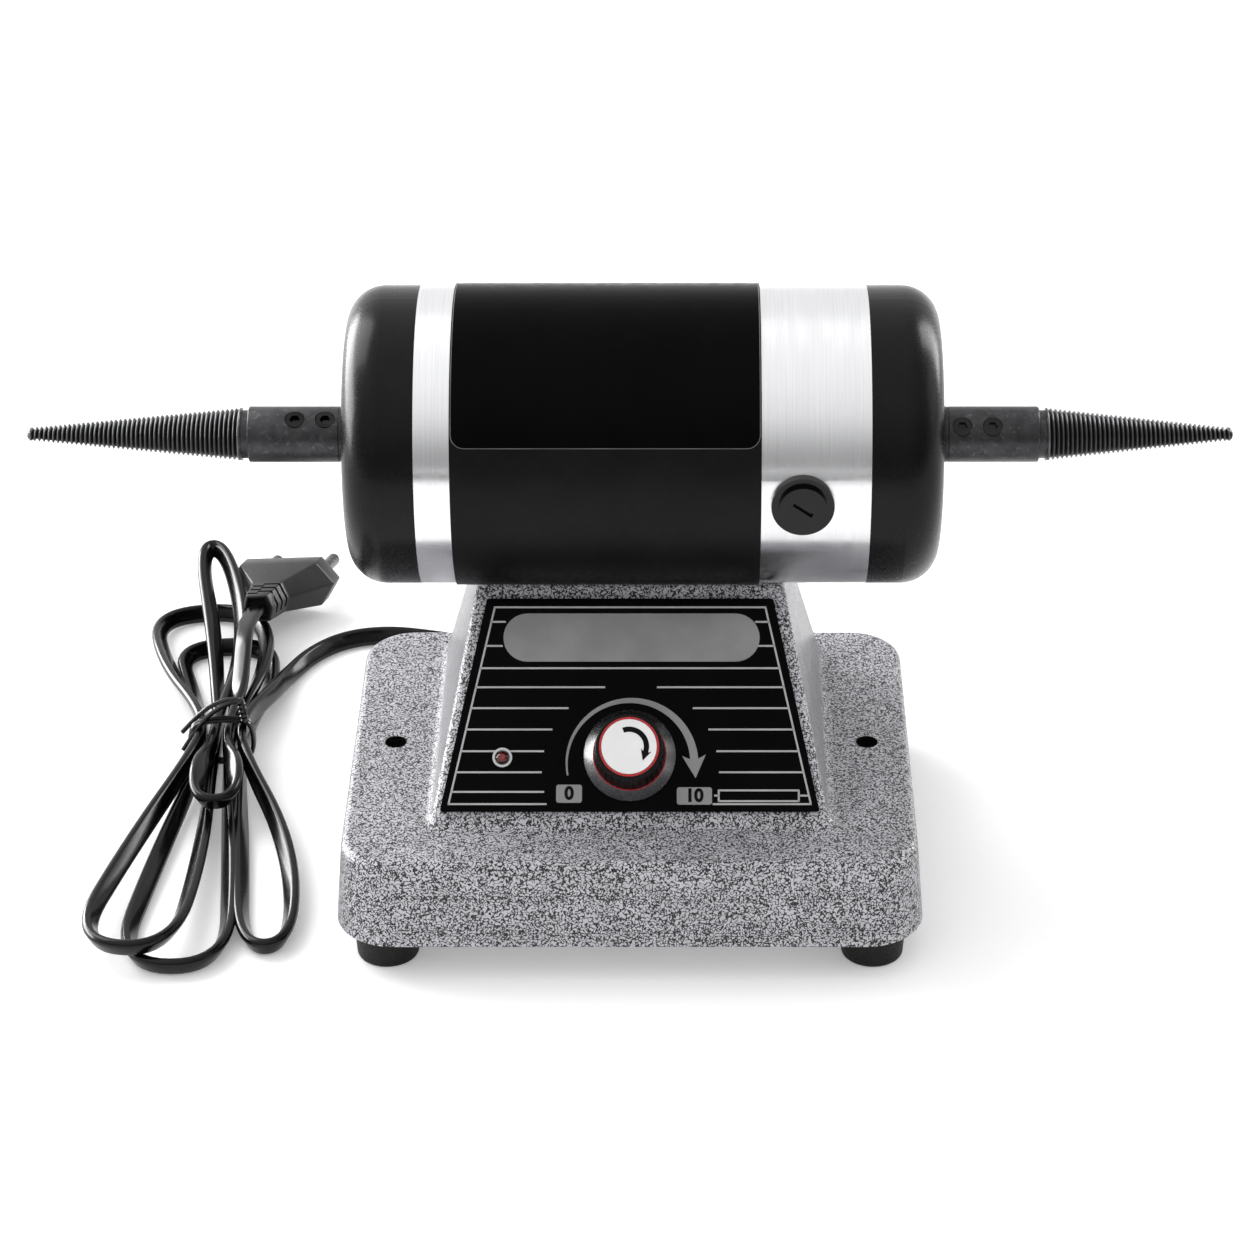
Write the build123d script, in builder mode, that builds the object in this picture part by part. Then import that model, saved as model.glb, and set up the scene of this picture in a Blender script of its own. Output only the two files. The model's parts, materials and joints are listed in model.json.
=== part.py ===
"""Bench buffer: a variable-speed motor with two tapered spindles on a cast pedestal base.

Millimetres. The origin is on the floor under the middle of the base, +X runs along the spindles to the
right, +Z is up and the control panel faces -Y.
"""

import math
import os

from build123d import *

os.makedirs("parts", exist_ok=True)

# Fits that several pieces share
SEAT_CLEARANCE = 0.1
RUNNING_CLEARANCE = 0.05
CUT_OVERRUN = 2.0

# Base casting
BASE_LENGTH = 157.5
BASE_DEPTH = 128.0
BASE_HEIGHT = 24.5
BASE_DRAFT = 4.7
BASE_CORNER_RADIUS = 16.0
BASE_EDGE_RADIUS = 2.5
BASE_WALL = 4.0
BOLT_INSET = 13.55
BOLT_HOLE_DIAMETER = 6.0
BOSS_DIAMETER = 13.0

# Bottom cover and feet
COVER_THICKNESS = 1.5
COVER_LEDGE = 1.5
FOOT_HEIGHT = 10.5
FOOT_DIAMETER = 18.0
FOOT_TAPER = 4.0
FOOT_INSET = 13.5
FOOT_EDGE_RADIUS = 1.0
FOOT_SCREW_DIAMETER = 4.0
FOOT_SCREW_HEAD_DIAMETER = 8.0
FOOT_SCREW_HEAD_HEIGHT = 2.6
FOOT_SCREW_RECESS = 5.0
FOOT_SCREW_GRIP = 9.0

# Pedestal, whose front face carries the control panel
PEDESTAL_HEIGHT = 50.0
PEDESTAL_FOOT_WIDTH = 107.0
PEDESTAL_TOP_WIDTH = 83.0
PEDESTAL_FRONT_STEP = 19.7
PEDESTAL_BACK_STEP = 10.0
PEDESTAL_TOP_REACH = 17.0
PEDESTAL_CORNER_RADIUS = 3.0
PEDESTAL_FOOT_RADIUS = 3.0
PEDESTAL_TOP_RADIUS = 3.0
PEDESTAL_WALL = 4.0
PEDESTAL_ROOF = 6.0
PANEL_TILT = 41.0

# Control panel and lamp, measured up the slope from the pedestal's foot
PANEL_BOTTOM = 4.6
PANEL_HEIGHT = 58.0
PANEL_FOOT_WIDTH = 101.5
PANEL_TOP_WIDTH = 77.2
PANEL_THICKNESS = 1.0
PANEL_CORNER_RADIUS = 0.6
LAMP_OFFSET = -34.1
LAMP_RISE = 19.1
LAMP_DIAMETER = 3.8
BEZEL_DIAMETER = 5.3
BEZEL_HEIGHT = 0.8
LAMP_BARREL = 8.0

# Speed knob and its potentiometer
KNOB_RISE = 19.6
KNOB_SKIRT_DIAMETER = 25.0
KNOB_SKIRT_HEIGHT = 3.0
KNOB_SKIRT_TOP_DIAMETER = 22.0
KNOB_BODY_DIAMETER = 19.4
KNOB_BODY_TOP_DIAMETER = 18.0
KNOB_BODY_HEIGHT = 12.4
KNOB_PANEL_GAP = 0.4
KNOB_WELL_DIAMETER = 14.0
KNOB_WELL_DEPTH = 5.0
KNOB_RING_DIAMETER = 15.9
KNOB_RING_HEIGHT = 1.4
KNOB_CAP_DIAMETER = 14.6
KNOB_CAP_STAND = 0.3
POT_BODY_DIAMETER = 16.0
POT_BODY_HEIGHT = 8.0
POT_BUSH_DIAMETER = 7.0
POT_BUSH_STAND = 3.2
POT_SHAFT_DIAMETER = 6.0
POT_SHAFT_GRIP = 7.0
POT_NUT_WIDTH = 10.0
POT_NUT_HEIGHT = 2.4

# Speed control board in the base
BOARD_LENGTH = 80.0
BOARD_DEPTH = 56.0
BOARD_THICKNESS = 1.6
BOARD_CENTRE = 10.0
STANDOFF_HEIGHT = 5.0
STANDOFF_DIAMETER = 6.0
STANDOFF_INSET = 5.0
HEAT_SINK_LENGTH = 36.0
HEAT_SINK_DEPTH = 14.0
HEAT_SINK_HEIGHT = 24.0
HEAT_SINK_FIN = 2.0
HEAT_SINK_FINS = 7
HEAT_SINK_SPINE = 3.0
HEAT_SINK_OFFSET = 14.0
CAPACITOR_DIAMETER = 12.0
CAPACITOR_HEIGHT = 20.0
CAPACITOR_OFFSET = -24.0

# Motor housing
AXIS_SETBACK = 59.3
SADDLE_DEPTH = 2.0
MOTOR_DIAMETER = 80.0
MOTOR_SHIFT = 3.7
TUBE_LENGTH = 119.0
TUBE_WALL = 3.0
CAP_LENGTH = 19.4
CAP_ROUND = 10.0
CAP_WALL = 6.0
CAP_END_WALL = 4.5
CAP_LIP = 2.0
CAP_SPIGOT = 5.0
BAND_WIDTH = 81.0
BAND_START = -46.4
BAND_THICKNESS = 0.3
BAND_CLEARANCE = 0.2
BAND_OPENING = 52.0
MOTOR_SCREW_DIAMETER = 5.0
MOTOR_SCREW_HEAD_DIAMETER = 8.5
MOTOR_SCREW_HEAD_HEIGHT = 5.0
MOTOR_SCREW_SPACING = 50.0
MOTOR_SCREW_REACH = 1.0

# Bearings
BEARING_BORE = 10.0
BEARING_DIAMETER = 26.0
BEARING_WIDTH = 8.0
BEARING_INNER_WALL = 2.4
BEARING_OUTER_WALL = 2.4
BALL_COUNT = 7
SHAFT_SIDE_GAP = 1.0
BEARING_SEAT_WALL = 3.5

# Magnets and armature
MAGNET_SHARE = 0.216
MAGNET_LENGTH = 64.0
MAGNET_SPAN = 120.0
MAGNET_CENTRE = -12.0
AIR_GAP = 0.7
ARMATURE_LENGTH = 56.0
ARMATURE_SLOTS = 12
SLOT_DEPTH_SHARE = 0.355
SLOT_WIDTH_SHARE = 0.34
WINDING_CLEARANCE = 0.2
WINDING_OVERHANG = 8.0
WINDING_BORE_SHARE = 0.43
COMMUTATOR_DIAMETER = 24.0
COMMUTATOR_LENGTH = 16.0
COMMUTATOR_SLOTS = 12
COMMUTATOR_SLOT_WIDTH = 0.8
COMMUTATOR_SLOT_DEPTH = 1.0

# Brush gear, along a line through the motor axis
BRUSH_STATION = 45.4
BRUSH_WIDTH = 6.0
BRUSH_LENGTH = 12.0
BRUSH_GAP = 0.1
HOLDER_DIAMETER = 12.8
HOLDER_ROOT = 15.0
HOLDER_FLANGE_DIAMETER = 16.5
HOLDER_FLANGE_STAND = 1.6
BRUSH_CAP_DIAMETER = 12.5
BRUSH_CAP_STAND = 1.6
BRUSH_CAP_SHANK_DIAMETER = 10.0
BRUSH_CAP_SHANK_LENGTH = 7.0
BRUSH_SLOT_WIDTH = 1.2
BRUSH_SLOT_DEPTH = 1.0
BRUSH_SLOT_LENGTH = 6.0
BRUSH_SLOT_ANGLE = -35.0
SPRING_DIAMETER = 4.8
SPRING_WIRE = 0.7
SPRING_TURNS = 5

# Spindles and shaft
SPINDLE_SPAN = 324.0
SLEEVE_DIAMETER = 15.0
SLEEVE_LENGTH = 26.2
SLEEVE_GAP = 1.0
SLEEVE_CHAMFER = 0.5
NECK_LENGTH = 2.2
NECK_DIAMETER = 13.0
TAPER_DIAMETER = 14.0
TIP_DIAMETER = 3.4
TIP_ROUND = 1.2
SHAFT_SHOULDER = 12.0
SHAFT_GRIP = 20.0
SET_SCREW_DIAMETER = 5.0
SET_SCREW_FIRST = 5.3
SET_SCREW_STEP = 8.1
SET_SCREW_SINK = 0.3
SET_SCREW_SOCKET = 2.5
SET_SCREW_SOCKET_DEPTH = 1.2
SET_SCREW_ANGLE = {"left": 60.0, "right": 43.0}

# Strain relief
GLAND_OFFSET = -30.0
GLAND_RISE = 12.0
GLAND_DIAMETER = 8.8
CORD_HOLE_CLEARANCE = 0.6
GLAND_FLANGE_DIAMETER = 13.0
GLAND_FLANGE = 2.0
GLAND_TAIL = 22.0
GLAND_TAIL_DIAMETER = 9.6
GLAND_TAIL_END_DIAMETER = 6.4
GLAND_STAND = 1.5

# Power cord: its free points, and the lobes of its hank
CORD_DIAMETER = 4.4
CORNER_SHARE = 0.45
END_RUN = 9.0
GAP_STEP = 1.0
GAP_NEIGHBOUR = 16.0
LEAD_ROUTE = [
    (-36.0, 110.5, 16.0),
    (-47.0, 118.5, 6.0),
    (-61.0, 121.0, 2.3),
    (-76.0, 118.0, 2.4),
    (-88.5, 110.0, 2.3),
    (-97.0, 98.0, 2.4),
    (-102.0, 84.0, 2.8),
    (-105.4, 69.0, 6.8),
]
PLUG_ROUTE = [
    (-116.4, 65.0, 11.2),
    (-116.6, 77.0, 13.4),
    (-117.0, 89.0, 16.0),
]
HANK_WAIST_X = -119.5
HANK_WAIST_Y = 45.0
HANK_WAIST_LENGTH = 16.0
HANK_WAIST_LIFT = 1.8
HANK_COLUMNS = 4
HANK_LAYERS = 2
HANK_COLUMN_STEP = 5.2
HANK_LAYER_STEP = 5.6
HANK_FLARE_SHARE = 0.52
# Each lobe: near or far side, swing, reach, tip width, flare width, bow, heights of the flare, the tip and
# the other flare, the side that the cord comes in on, and the column and layer of its two strands
HANK_LOBES = [
    (-1, 10.0, 91.0, 14.0, 14.0, 3.4, (5.0, 2.3, 2.3), 1, (3, 1), (3, 0)),
    (1, -6.0, 54.0, 28.0, 24.0, 2.2, (2.3, 2.3, 2.3), 1, (3, 0), (0, 0)),
    (-1, -0.8, 99.0, 30.0, 21.5, 0.0, (2.3, 2.3, 2.3), -1, (0, 0), (2, 0)),
    (1, -9.9, 78.0, 28.0, 32.0, 3.2, (9.3, 2.3, 6.6), 1, (2, 0), (0, 1)),
    (-1, -9.0, 98.0, 24.0, 19.0, 0.0, (7.0, 7.6, 4.5), -1, (0, 1), (1, 0)),
    (1, -7.8, 102.0, 8.0, 9.6, 4.7, (8.2, 14.8, 9.0), -1, (1, 0), (1, 1)),
    (-1, 0.0, 22.0, 10.0, 9.0, 0.0, (12.6, 12.6, 12.6), -1, (1, 1), (2, 1)),
]
TIE_CLEARANCE = 0.3
TIE_THICKNESS = 1.2
TIE_WIDTH = 3.0

# Plug
PLUG_START = (-115.1, 111.2, 13.9)
PLUG_HEADING = 76.9
PLUG_PITCH = -9.9
PLUG_ROLL = 8.3
PLUG_NECK = 11.0
PLUG_NECK_DIAMETER = 8.8
PLUG_NECK_TAPER = -3.0
PLUG_CORE_DIAMETER = 7.0
PLUG_GROOVES = 3
PLUG_GROOVE_WIDTH = 1.2
PLUG_SHOULDER = 11.2
PLUG_SHOULDER_SHARE = 0.38
PLUG_PLATE = 6.5
PLUG_WIDTH = 35.0
PLUG_FLAT_WIDTH = 25.0
PLUG_THICKNESS = 14.0
PLUG_EDGE_RADIUS = 1.0
PIN_DIAMETER = 4.0
PIN_LENGTH = 19.0
PIN_SPACING = 18.6
PIN_ROUND = 1.2

# Places worked out from the sizes above
BASE_TOP = FOOT_HEIGHT + BASE_HEIGHT
BOLT_SPACING = BASE_LENGTH - 2 * BOLT_INSET
PEDESTAL_TOP = BASE_TOP + PEDESTAL_HEIGHT
PEDESTAL_FRONT = PEDESTAL_FRONT_STEP - BASE_DEPTH / 2
PEDESTAL_BACK = BASE_DEPTH / 2 - PEDESTAL_BACK_STEP
MOTOR_RADIUS = MOTOR_DIAMETER / 2
AXIS_DEPTH = PEDESTAL_FRONT + AXIS_SETBACK
AXIS_HEIGHT = PEDESTAL_TOP - SADDLE_DEPTH + MOTOR_RADIUS
PEDESTAL_BACK_TOP = AXIS_DEPTH + PEDESTAL_TOP_REACH
TUBE_INNER_RADIUS = MOTOR_RADIUS - TUBE_WALL
TUBE_ENDS = {"left": MOTOR_SHIFT - TUBE_LENGTH / 2, "right": MOTOR_SHIFT + TUBE_LENGTH / 2}
SIDES = {"left": -1, "right": 1}
FACINGS = {"front": -1, "back": 1}
MOTOR_AXIS = Axis((0, AXIS_DEPTH, AXIS_HEIGHT), (1, 0, 0))
MOTOR_PROFILE = Plane(origin=(0, AXIS_DEPTH, AXIS_HEIGHT), x_dir=(1, 0, 0), z_dir=(0, -1, 0))
TILT_SINE = math.sin(math.radians(PANEL_TILT))
TILT_COSINE = math.cos(math.radians(PANEL_TILT))
PANEL_PLANE = Plane(
    origin=(0, PEDESTAL_FRONT, BASE_TOP), x_dir=(1, 0, 0), z_dir=(0, -TILT_COSINE, TILT_SINE)
)


def cross_section(station):
    """A plane square to the motor axis, with its own X along +Y and its own Y along +Z."""
    return Plane(origin=(station, AXIS_DEPTH, AXIS_HEIGHT), x_dir=(0, 1, 0), z_dir=(1, 0, 0))


def panel_spot(offset, rise):
    """A plane on the pedestal's front face, looking out of it."""
    return Plane(
        origin=PANEL_PLANE.from_local_coords((offset, rise, 0)), x_dir=(1, 0, 0), z_dir=PANEL_PLANE.z_dir
    )


def finish(piece, label):
    """Names a finished piece and writes it."""
    piece.part.label = label
    export_step(piece.part, f"parts/{label}.step")


# Base casting
FOOT_SPOTS = {
    f"foot_{depth_name}_{side_name}": (
        side * (BASE_LENGTH / 2 - FOOT_INSET),
        facing * (BASE_DEPTH / 2 - FOOT_INSET),
    )
    for depth_name, facing in FACINGS.items()
    for side_name, side in SIDES.items()
}
BOLT_SPOTS = [(-BOLT_SPACING / 2, 0), (BOLT_SPACING / 2, 0)]
MOTOR_SCREW_SPOTS = [
    (MOTOR_SHIFT - MOTOR_SCREW_SPACING / 2, AXIS_DEPTH),
    (MOTOR_SHIFT + MOTOR_SCREW_SPACING / 2, AXIS_DEPTH),
]


def pedestal_lines(height):
    """Half width, front and back of the pedestal's outside at a height above the base."""
    share = height / PEDESTAL_HEIGHT
    half_width = (PEDESTAL_FOOT_WIDTH + (PEDESTAL_TOP_WIDTH - PEDESTAL_FOOT_WIDTH) * share) / 2
    front = PEDESTAL_FRONT + height * math.tan(math.radians(PANEL_TILT))
    back = PEDESTAL_BACK + (PEDESTAL_BACK_TOP - PEDESTAL_BACK) * share
    return half_width, front, back


def pedestal_outline(height, inset):
    """Draws the pedestal's section in a sketch at a height above the base, drawn in by a wall."""
    half_width, front, back = pedestal_lines(height)
    front += inset / TILT_COSINE
    back -= inset
    half_width -= inset
    with Locations((0, (front + back) / 2)):
        RectangleRounded(2 * half_width, back - front, PEDESTAL_CORNER_RADIUS)


with BuildPart() as base_casting:
    with BuildSketch(Plane.XY.offset(FOOT_HEIGHT)):
        RectangleRounded(BASE_LENGTH, BASE_DEPTH, BASE_CORNER_RADIUS)
    extrude(amount=BASE_HEIGHT, taper=BASE_DRAFT)
    fillet(base_casting.faces().sort_by(Axis.Z)[-1].edges(), BASE_EDGE_RADIUS)
    with BuildSketch(Plane.XY.offset(BASE_TOP)):
        pedestal_outline(0, 0)
    with BuildSketch(Plane.XY.offset(PEDESTAL_TOP)):
        pedestal_outline(PEDESTAL_HEIGHT, 0)
    loft()
    fillet(base_casting.faces().sort_by(Axis.Z)[-1].edges(), PEDESTAL_TOP_RADIUS)
    foot_edges = base_casting.edges().filter_by_position(
        Axis.Z, BASE_TOP - SEAT_CLEARANCE, BASE_TOP + SEAT_CLEARANCE
    )
    fillet(
        foot_edges.filter_by(lambda edge: abs(edge.center().X) < PEDESTAL_FOOT_WIDTH / 2 + SEAT_CLEARANCE)
        .filter_by(lambda edge: PEDESTAL_FRONT - SEAT_CLEARANCE < edge.center().Y)
        .filter_by(lambda edge: edge.center().Y < PEDESTAL_BACK + SEAT_CLEARANCE),
        PEDESTAL_FOOT_RADIUS,
    )
    # The hollow of the base, with a ledge for the cover, and the hollow of the pedestal above it
    with BuildSketch(Plane.XY.offset(FOOT_HEIGHT)):
        RectangleRounded(
            BASE_LENGTH - 2 * BASE_WALL, BASE_DEPTH - 2 * BASE_WALL, BASE_CORNER_RADIUS - BASE_WALL
        )
    extrude(amount=BASE_HEIGHT - BASE_WALL, taper=BASE_DRAFT, mode=Mode.SUBTRACT)
    with BuildSketch(Plane.XY.offset(FOOT_HEIGHT)):
        RectangleRounded(
            BASE_LENGTH - 2 * (BASE_WALL - COVER_LEDGE),
            BASE_DEPTH - 2 * (BASE_WALL - COVER_LEDGE),
            BASE_CORNER_RADIUS - BASE_WALL + COVER_LEDGE,
        )
    extrude(amount=COVER_THICKNESS, mode=Mode.SUBTRACT)
    with BuildSketch(Plane.XY.offset(BASE_TOP - BASE_WALL)):
        pedestal_outline(-BASE_WALL, PEDESTAL_WALL)
    with BuildSketch(Plane.XY.offset(PEDESTAL_TOP - PEDESTAL_ROOF)):
        pedestal_outline(PEDESTAL_HEIGHT - PEDESTAL_ROOF, PEDESTAL_WALL)
    loft(mode=Mode.SUBTRACT)
    # Bosses for the feet and for the two bench bolts
    with BuildSketch(Plane.XY.offset(FOOT_HEIGHT + COVER_THICKNESS)):
        with Locations(*FOOT_SPOTS.values(), *BOLT_SPOTS):
            Circle(BOSS_DIAMETER / 2)
    extrude(amount=BASE_HEIGHT - COVER_THICKNESS - BASE_WALL / 2)
    with BuildSketch(Plane.XY.offset(FOOT_HEIGHT)):
        with Locations(*BOLT_SPOTS):
            Circle(BOLT_HOLE_DIAMETER / 2)
    extrude(amount=BASE_HEIGHT + CUT_OVERRUN, mode=Mode.SUBTRACT)
    with BuildSketch(Plane.XY.offset(FOOT_HEIGHT + COVER_THICKNESS)):
        with Locations(*FOOT_SPOTS.values()):
            Circle(FOOT_SCREW_DIAMETER / 2 + SEAT_CLEARANCE)
    extrude(amount=FOOT_SCREW_GRIP + SEAT_CLEARANCE, mode=Mode.SUBTRACT)
    # The saddle under the motor and the holes of its two screws
    with BuildSketch(cross_section(-BASE_LENGTH / 2)):
        Circle(MOTOR_RADIUS + SEAT_CLEARANCE)
    extrude(amount=BASE_LENGTH, mode=Mode.SUBTRACT)
    with BuildSketch(Plane.XY.offset(PEDESTAL_TOP - PEDESTAL_ROOF)):
        with Locations(*MOTOR_SCREW_SPOTS):
            Circle(MOTOR_SCREW_DIAMETER / 2 + SEAT_CLEARANCE)
    extrude(amount=PEDESTAL_ROOF, mode=Mode.SUBTRACT)
    # The cord's hole in the back wall
    gland_hole = (GLAND_OFFSET, BASE_DEPTH / 2, FOOT_HEIGHT + GLAND_RISE)
    with BuildSketch(Plane(origin=gland_hole, x_dir=(-1, 0, 0), z_dir=(0, 1, 0))):
        Circle(GLAND_DIAMETER / 2 + CORD_HOLE_CLEARANCE)
    extrude(amount=-2 * BASE_WALL, mode=Mode.SUBTRACT)
    # Holes in the front face for the potentiometer and the lamp
    with BuildSketch(PANEL_PLANE):
        with Locations((0, KNOB_RISE)):
            Circle(POT_BUSH_DIAMETER / 2 + SEAT_CLEARANCE)
        with Locations((LAMP_OFFSET, LAMP_RISE)):
            Circle(LAMP_DIAMETER / 2 + SEAT_CLEARANCE)
    extrude(amount=-(PEDESTAL_WALL + CUT_OVERRUN), mode=Mode.SUBTRACT)
finish(base_casting, "base_casting")

# Bottom cover
with BuildPart() as bottom_cover:
    with BuildSketch(Plane.XY.offset(FOOT_HEIGHT)):
        RectangleRounded(
            BASE_LENGTH - 2 * (BASE_WALL - COVER_LEDGE + SEAT_CLEARANCE),
            BASE_DEPTH - 2 * (BASE_WALL - COVER_LEDGE + SEAT_CLEARANCE),
            BASE_CORNER_RADIUS - BASE_WALL + COVER_LEDGE,
        )
        with Locations(*BOLT_SPOTS):
            Circle(BOLT_HOLE_DIAMETER / 2, mode=Mode.SUBTRACT)
        with Locations(*FOOT_SPOTS.values()):
            Circle(FOOT_SCREW_DIAMETER / 2 + SEAT_CLEARANCE, mode=Mode.SUBTRACT)
    extrude(amount=COVER_THICKNESS)
finish(bottom_cover, "bottom_cover")

# Rubber feet and their screws
for foot_name, foot_spot in FOOT_SPOTS.items():
    with BuildPart() as foot:
        with BuildSketch(Plane(origin=(*foot_spot, FOOT_HEIGHT), x_dir=(1, 0, 0), z_dir=(0, 0, -1))):
            Circle(FOOT_DIAMETER / 2)
        extrude(amount=FOOT_HEIGHT, taper=FOOT_TAPER)
        fillet(foot.faces().sort_by(Axis.Z)[0].edges(), FOOT_EDGE_RADIUS)
        with BuildSketch(Plane(origin=(*foot_spot, 0), x_dir=(1, 0, 0), z_dir=(0, 0, 1))):
            Circle(FOOT_SCREW_HEAD_DIAMETER / 2 + SEAT_CLEARANCE)
        extrude(amount=FOOT_SCREW_RECESS, mode=Mode.SUBTRACT)
        with BuildSketch(Plane(origin=(*foot_spot, 0), x_dir=(1, 0, 0), z_dir=(0, 0, 1))):
            Circle(FOOT_SCREW_DIAMETER / 2 + SEAT_CLEARANCE)
        extrude(amount=FOOT_HEIGHT, mode=Mode.SUBTRACT)
    finish(foot, foot_name)

with BuildPart() as foot_screws:
    with BuildSketch(Plane.XY.offset(FOOT_SCREW_RECESS - FOOT_SCREW_HEAD_HEIGHT)):
        with Locations(*FOOT_SPOTS.values()):
            Circle(FOOT_SCREW_HEAD_DIAMETER / 2)
    extrude(amount=FOOT_SCREW_HEAD_HEIGHT)
    with BuildSketch(Plane.XY.offset(FOOT_SCREW_RECESS)):
        with Locations(*FOOT_SPOTS.values()):
            Circle(FOOT_SCREW_DIAMETER / 2)
    extrude(amount=FOOT_HEIGHT - FOOT_SCREW_RECESS + COVER_THICKNESS + FOOT_SCREW_GRIP)
finish(foot_screws, "foot_screws")

# Motor screws, up through the pedestal's roof into the tube
with BuildPart() as motor_screws:
    with BuildSketch(Plane.XY.offset(PEDESTAL_TOP - PEDESTAL_ROOF - MOTOR_SCREW_HEAD_HEIGHT)):
        with Locations(*MOTOR_SCREW_SPOTS):
            Circle(MOTOR_SCREW_HEAD_DIAMETER / 2)
    extrude(amount=MOTOR_SCREW_HEAD_HEIGHT)
    with BuildSketch(Plane.XY.offset(PEDESTAL_TOP - PEDESTAL_ROOF)):
        with Locations(*MOTOR_SCREW_SPOTS):
            Circle(MOTOR_SCREW_DIAMETER / 2)
    extrude(amount=AXIS_HEIGHT - TUBE_INNER_RADIUS + MOTOR_SCREW_REACH - PEDESTAL_TOP + PEDESTAL_ROOF)
finish(motor_screws, "motor_screws")

# Control panel
with BuildPart() as control_panel:
    with BuildSketch(PANEL_PLANE):
        with BuildLine():
            Polyline(
                (-PANEL_FOOT_WIDTH / 2, PANEL_BOTTOM),
                (PANEL_FOOT_WIDTH / 2, PANEL_BOTTOM),
                (PANEL_TOP_WIDTH / 2, PANEL_BOTTOM + PANEL_HEIGHT),
                (-PANEL_TOP_WIDTH / 2, PANEL_BOTTOM + PANEL_HEIGHT),
                close=True,
            )
        panel_sheet = make_face()
        fillet(panel_sheet.vertices(), PANEL_CORNER_RADIUS)
        with Locations((0, KNOB_RISE)):
            Circle(POT_BUSH_DIAMETER / 2 + SEAT_CLEARANCE, mode=Mode.SUBTRACT)
        with Locations((LAMP_OFFSET, LAMP_RISE)):
            Circle(LAMP_DIAMETER / 2 + SEAT_CLEARANCE, mode=Mode.SUBTRACT)
    extrude(amount=PANEL_THICKNESS)
finish(control_panel, "control_panel")

# Lamp: a clear lens in a bright bezel that stands on the panel
LAMP_SPOT = panel_spot(LAMP_OFFSET, LAMP_RISE)
with BuildPart() as lamp_bezel:
    with BuildSketch(LAMP_SPOT.offset(PANEL_THICKNESS)):
        Circle(BEZEL_DIAMETER / 2)
        Circle(LAMP_DIAMETER / 2 + SEAT_CLEARANCE, mode=Mode.SUBTRACT)
    extrude(amount=BEZEL_HEIGHT)
finish(lamp_bezel, "lamp_bezel")

with BuildPart() as lamp_lens:
    with BuildSketch(LAMP_SPOT.offset(PANEL_THICKNESS + BEZEL_HEIGHT - LAMP_BARREL)):
        Circle(LAMP_DIAMETER / 2)
    extrude(amount=LAMP_BARREL)
    with Locations(LAMP_SPOT.offset(PANEL_THICKNESS + BEZEL_HEIGHT)):
        Sphere(LAMP_DIAMETER / 2, arc_size1=0)
finish(lamp_lens, "lamp_lens")

# Potentiometer: body behind the wall, bush through wall and panel, nut outside, shaft in the bush
KNOB_SPOT = panel_spot(0, KNOB_RISE)
BUSH_TOP = PANEL_THICKNESS + POT_BUSH_STAND
with BuildPart() as pot_body:
    with BuildSketch(KNOB_SPOT.offset(-PEDESTAL_WALL - POT_BODY_HEIGHT)):
        Circle(POT_BODY_DIAMETER / 2)
    extrude(amount=POT_BODY_HEIGHT)
    with BuildSketch(KNOB_SPOT.offset(-PEDESTAL_WALL)):
        Circle(POT_BUSH_DIAMETER / 2)
    extrude(amount=PEDESTAL_WALL + BUSH_TOP)
    with BuildSketch(KNOB_SPOT.offset(-PEDESTAL_WALL)):
        Circle(POT_SHAFT_DIAMETER / 2 + RUNNING_CLEARANCE)
    extrude(amount=PEDESTAL_WALL + BUSH_TOP, mode=Mode.SUBTRACT)
finish(pot_body, "pot_body")

with BuildPart() as pot_nut:
    with BuildSketch(KNOB_SPOT.offset(PANEL_THICKNESS)):
        RegularPolygon(POT_NUT_WIDTH / 2, side_count=6, major_radius=False)
        Circle(POT_BUSH_DIAMETER / 2 + SEAT_CLEARANCE, mode=Mode.SUBTRACT)
    extrude(amount=POT_NUT_HEIGHT)
finish(pot_nut, "pot_nut")

KNOB_FOOT = PANEL_THICKNESS + KNOB_PANEL_GAP
KNOB_TOP = KNOB_FOOT + KNOB_SKIRT_HEIGHT + KNOB_BODY_HEIGHT
KNOB_WELL_TOP = KNOB_FOOT + KNOB_WELL_DEPTH
with BuildPart() as pot_shaft:
    with BuildSketch(KNOB_SPOT.offset(-PEDESTAL_WALL + SEAT_CLEARANCE)):
        Circle(POT_SHAFT_DIAMETER / 2)
    extrude(amount=PEDESTAL_WALL - SEAT_CLEARANCE + KNOB_WELL_TOP + POT_SHAFT_GRIP)
finish(pot_shaft, "pot_shaft")

# Knob: metal skirt, grip body, red ring and white cap
with BuildPart() as knob_skirt:
    with BuildSketch(KNOB_SPOT.offset(KNOB_FOOT)):
        Circle(KNOB_SKIRT_DIAMETER / 2)
    with BuildSketch(KNOB_SPOT.offset(KNOB_FOOT + KNOB_SKIRT_HEIGHT)):
        Circle(KNOB_SKIRT_TOP_DIAMETER / 2)
    loft()
    with BuildSketch(KNOB_SPOT.offset(KNOB_FOOT)):
        Circle(KNOB_WELL_DIAMETER / 2)
    extrude(amount=KNOB_SKIRT_HEIGHT, mode=Mode.SUBTRACT)
finish(knob_skirt, "knob_skirt")

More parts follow.
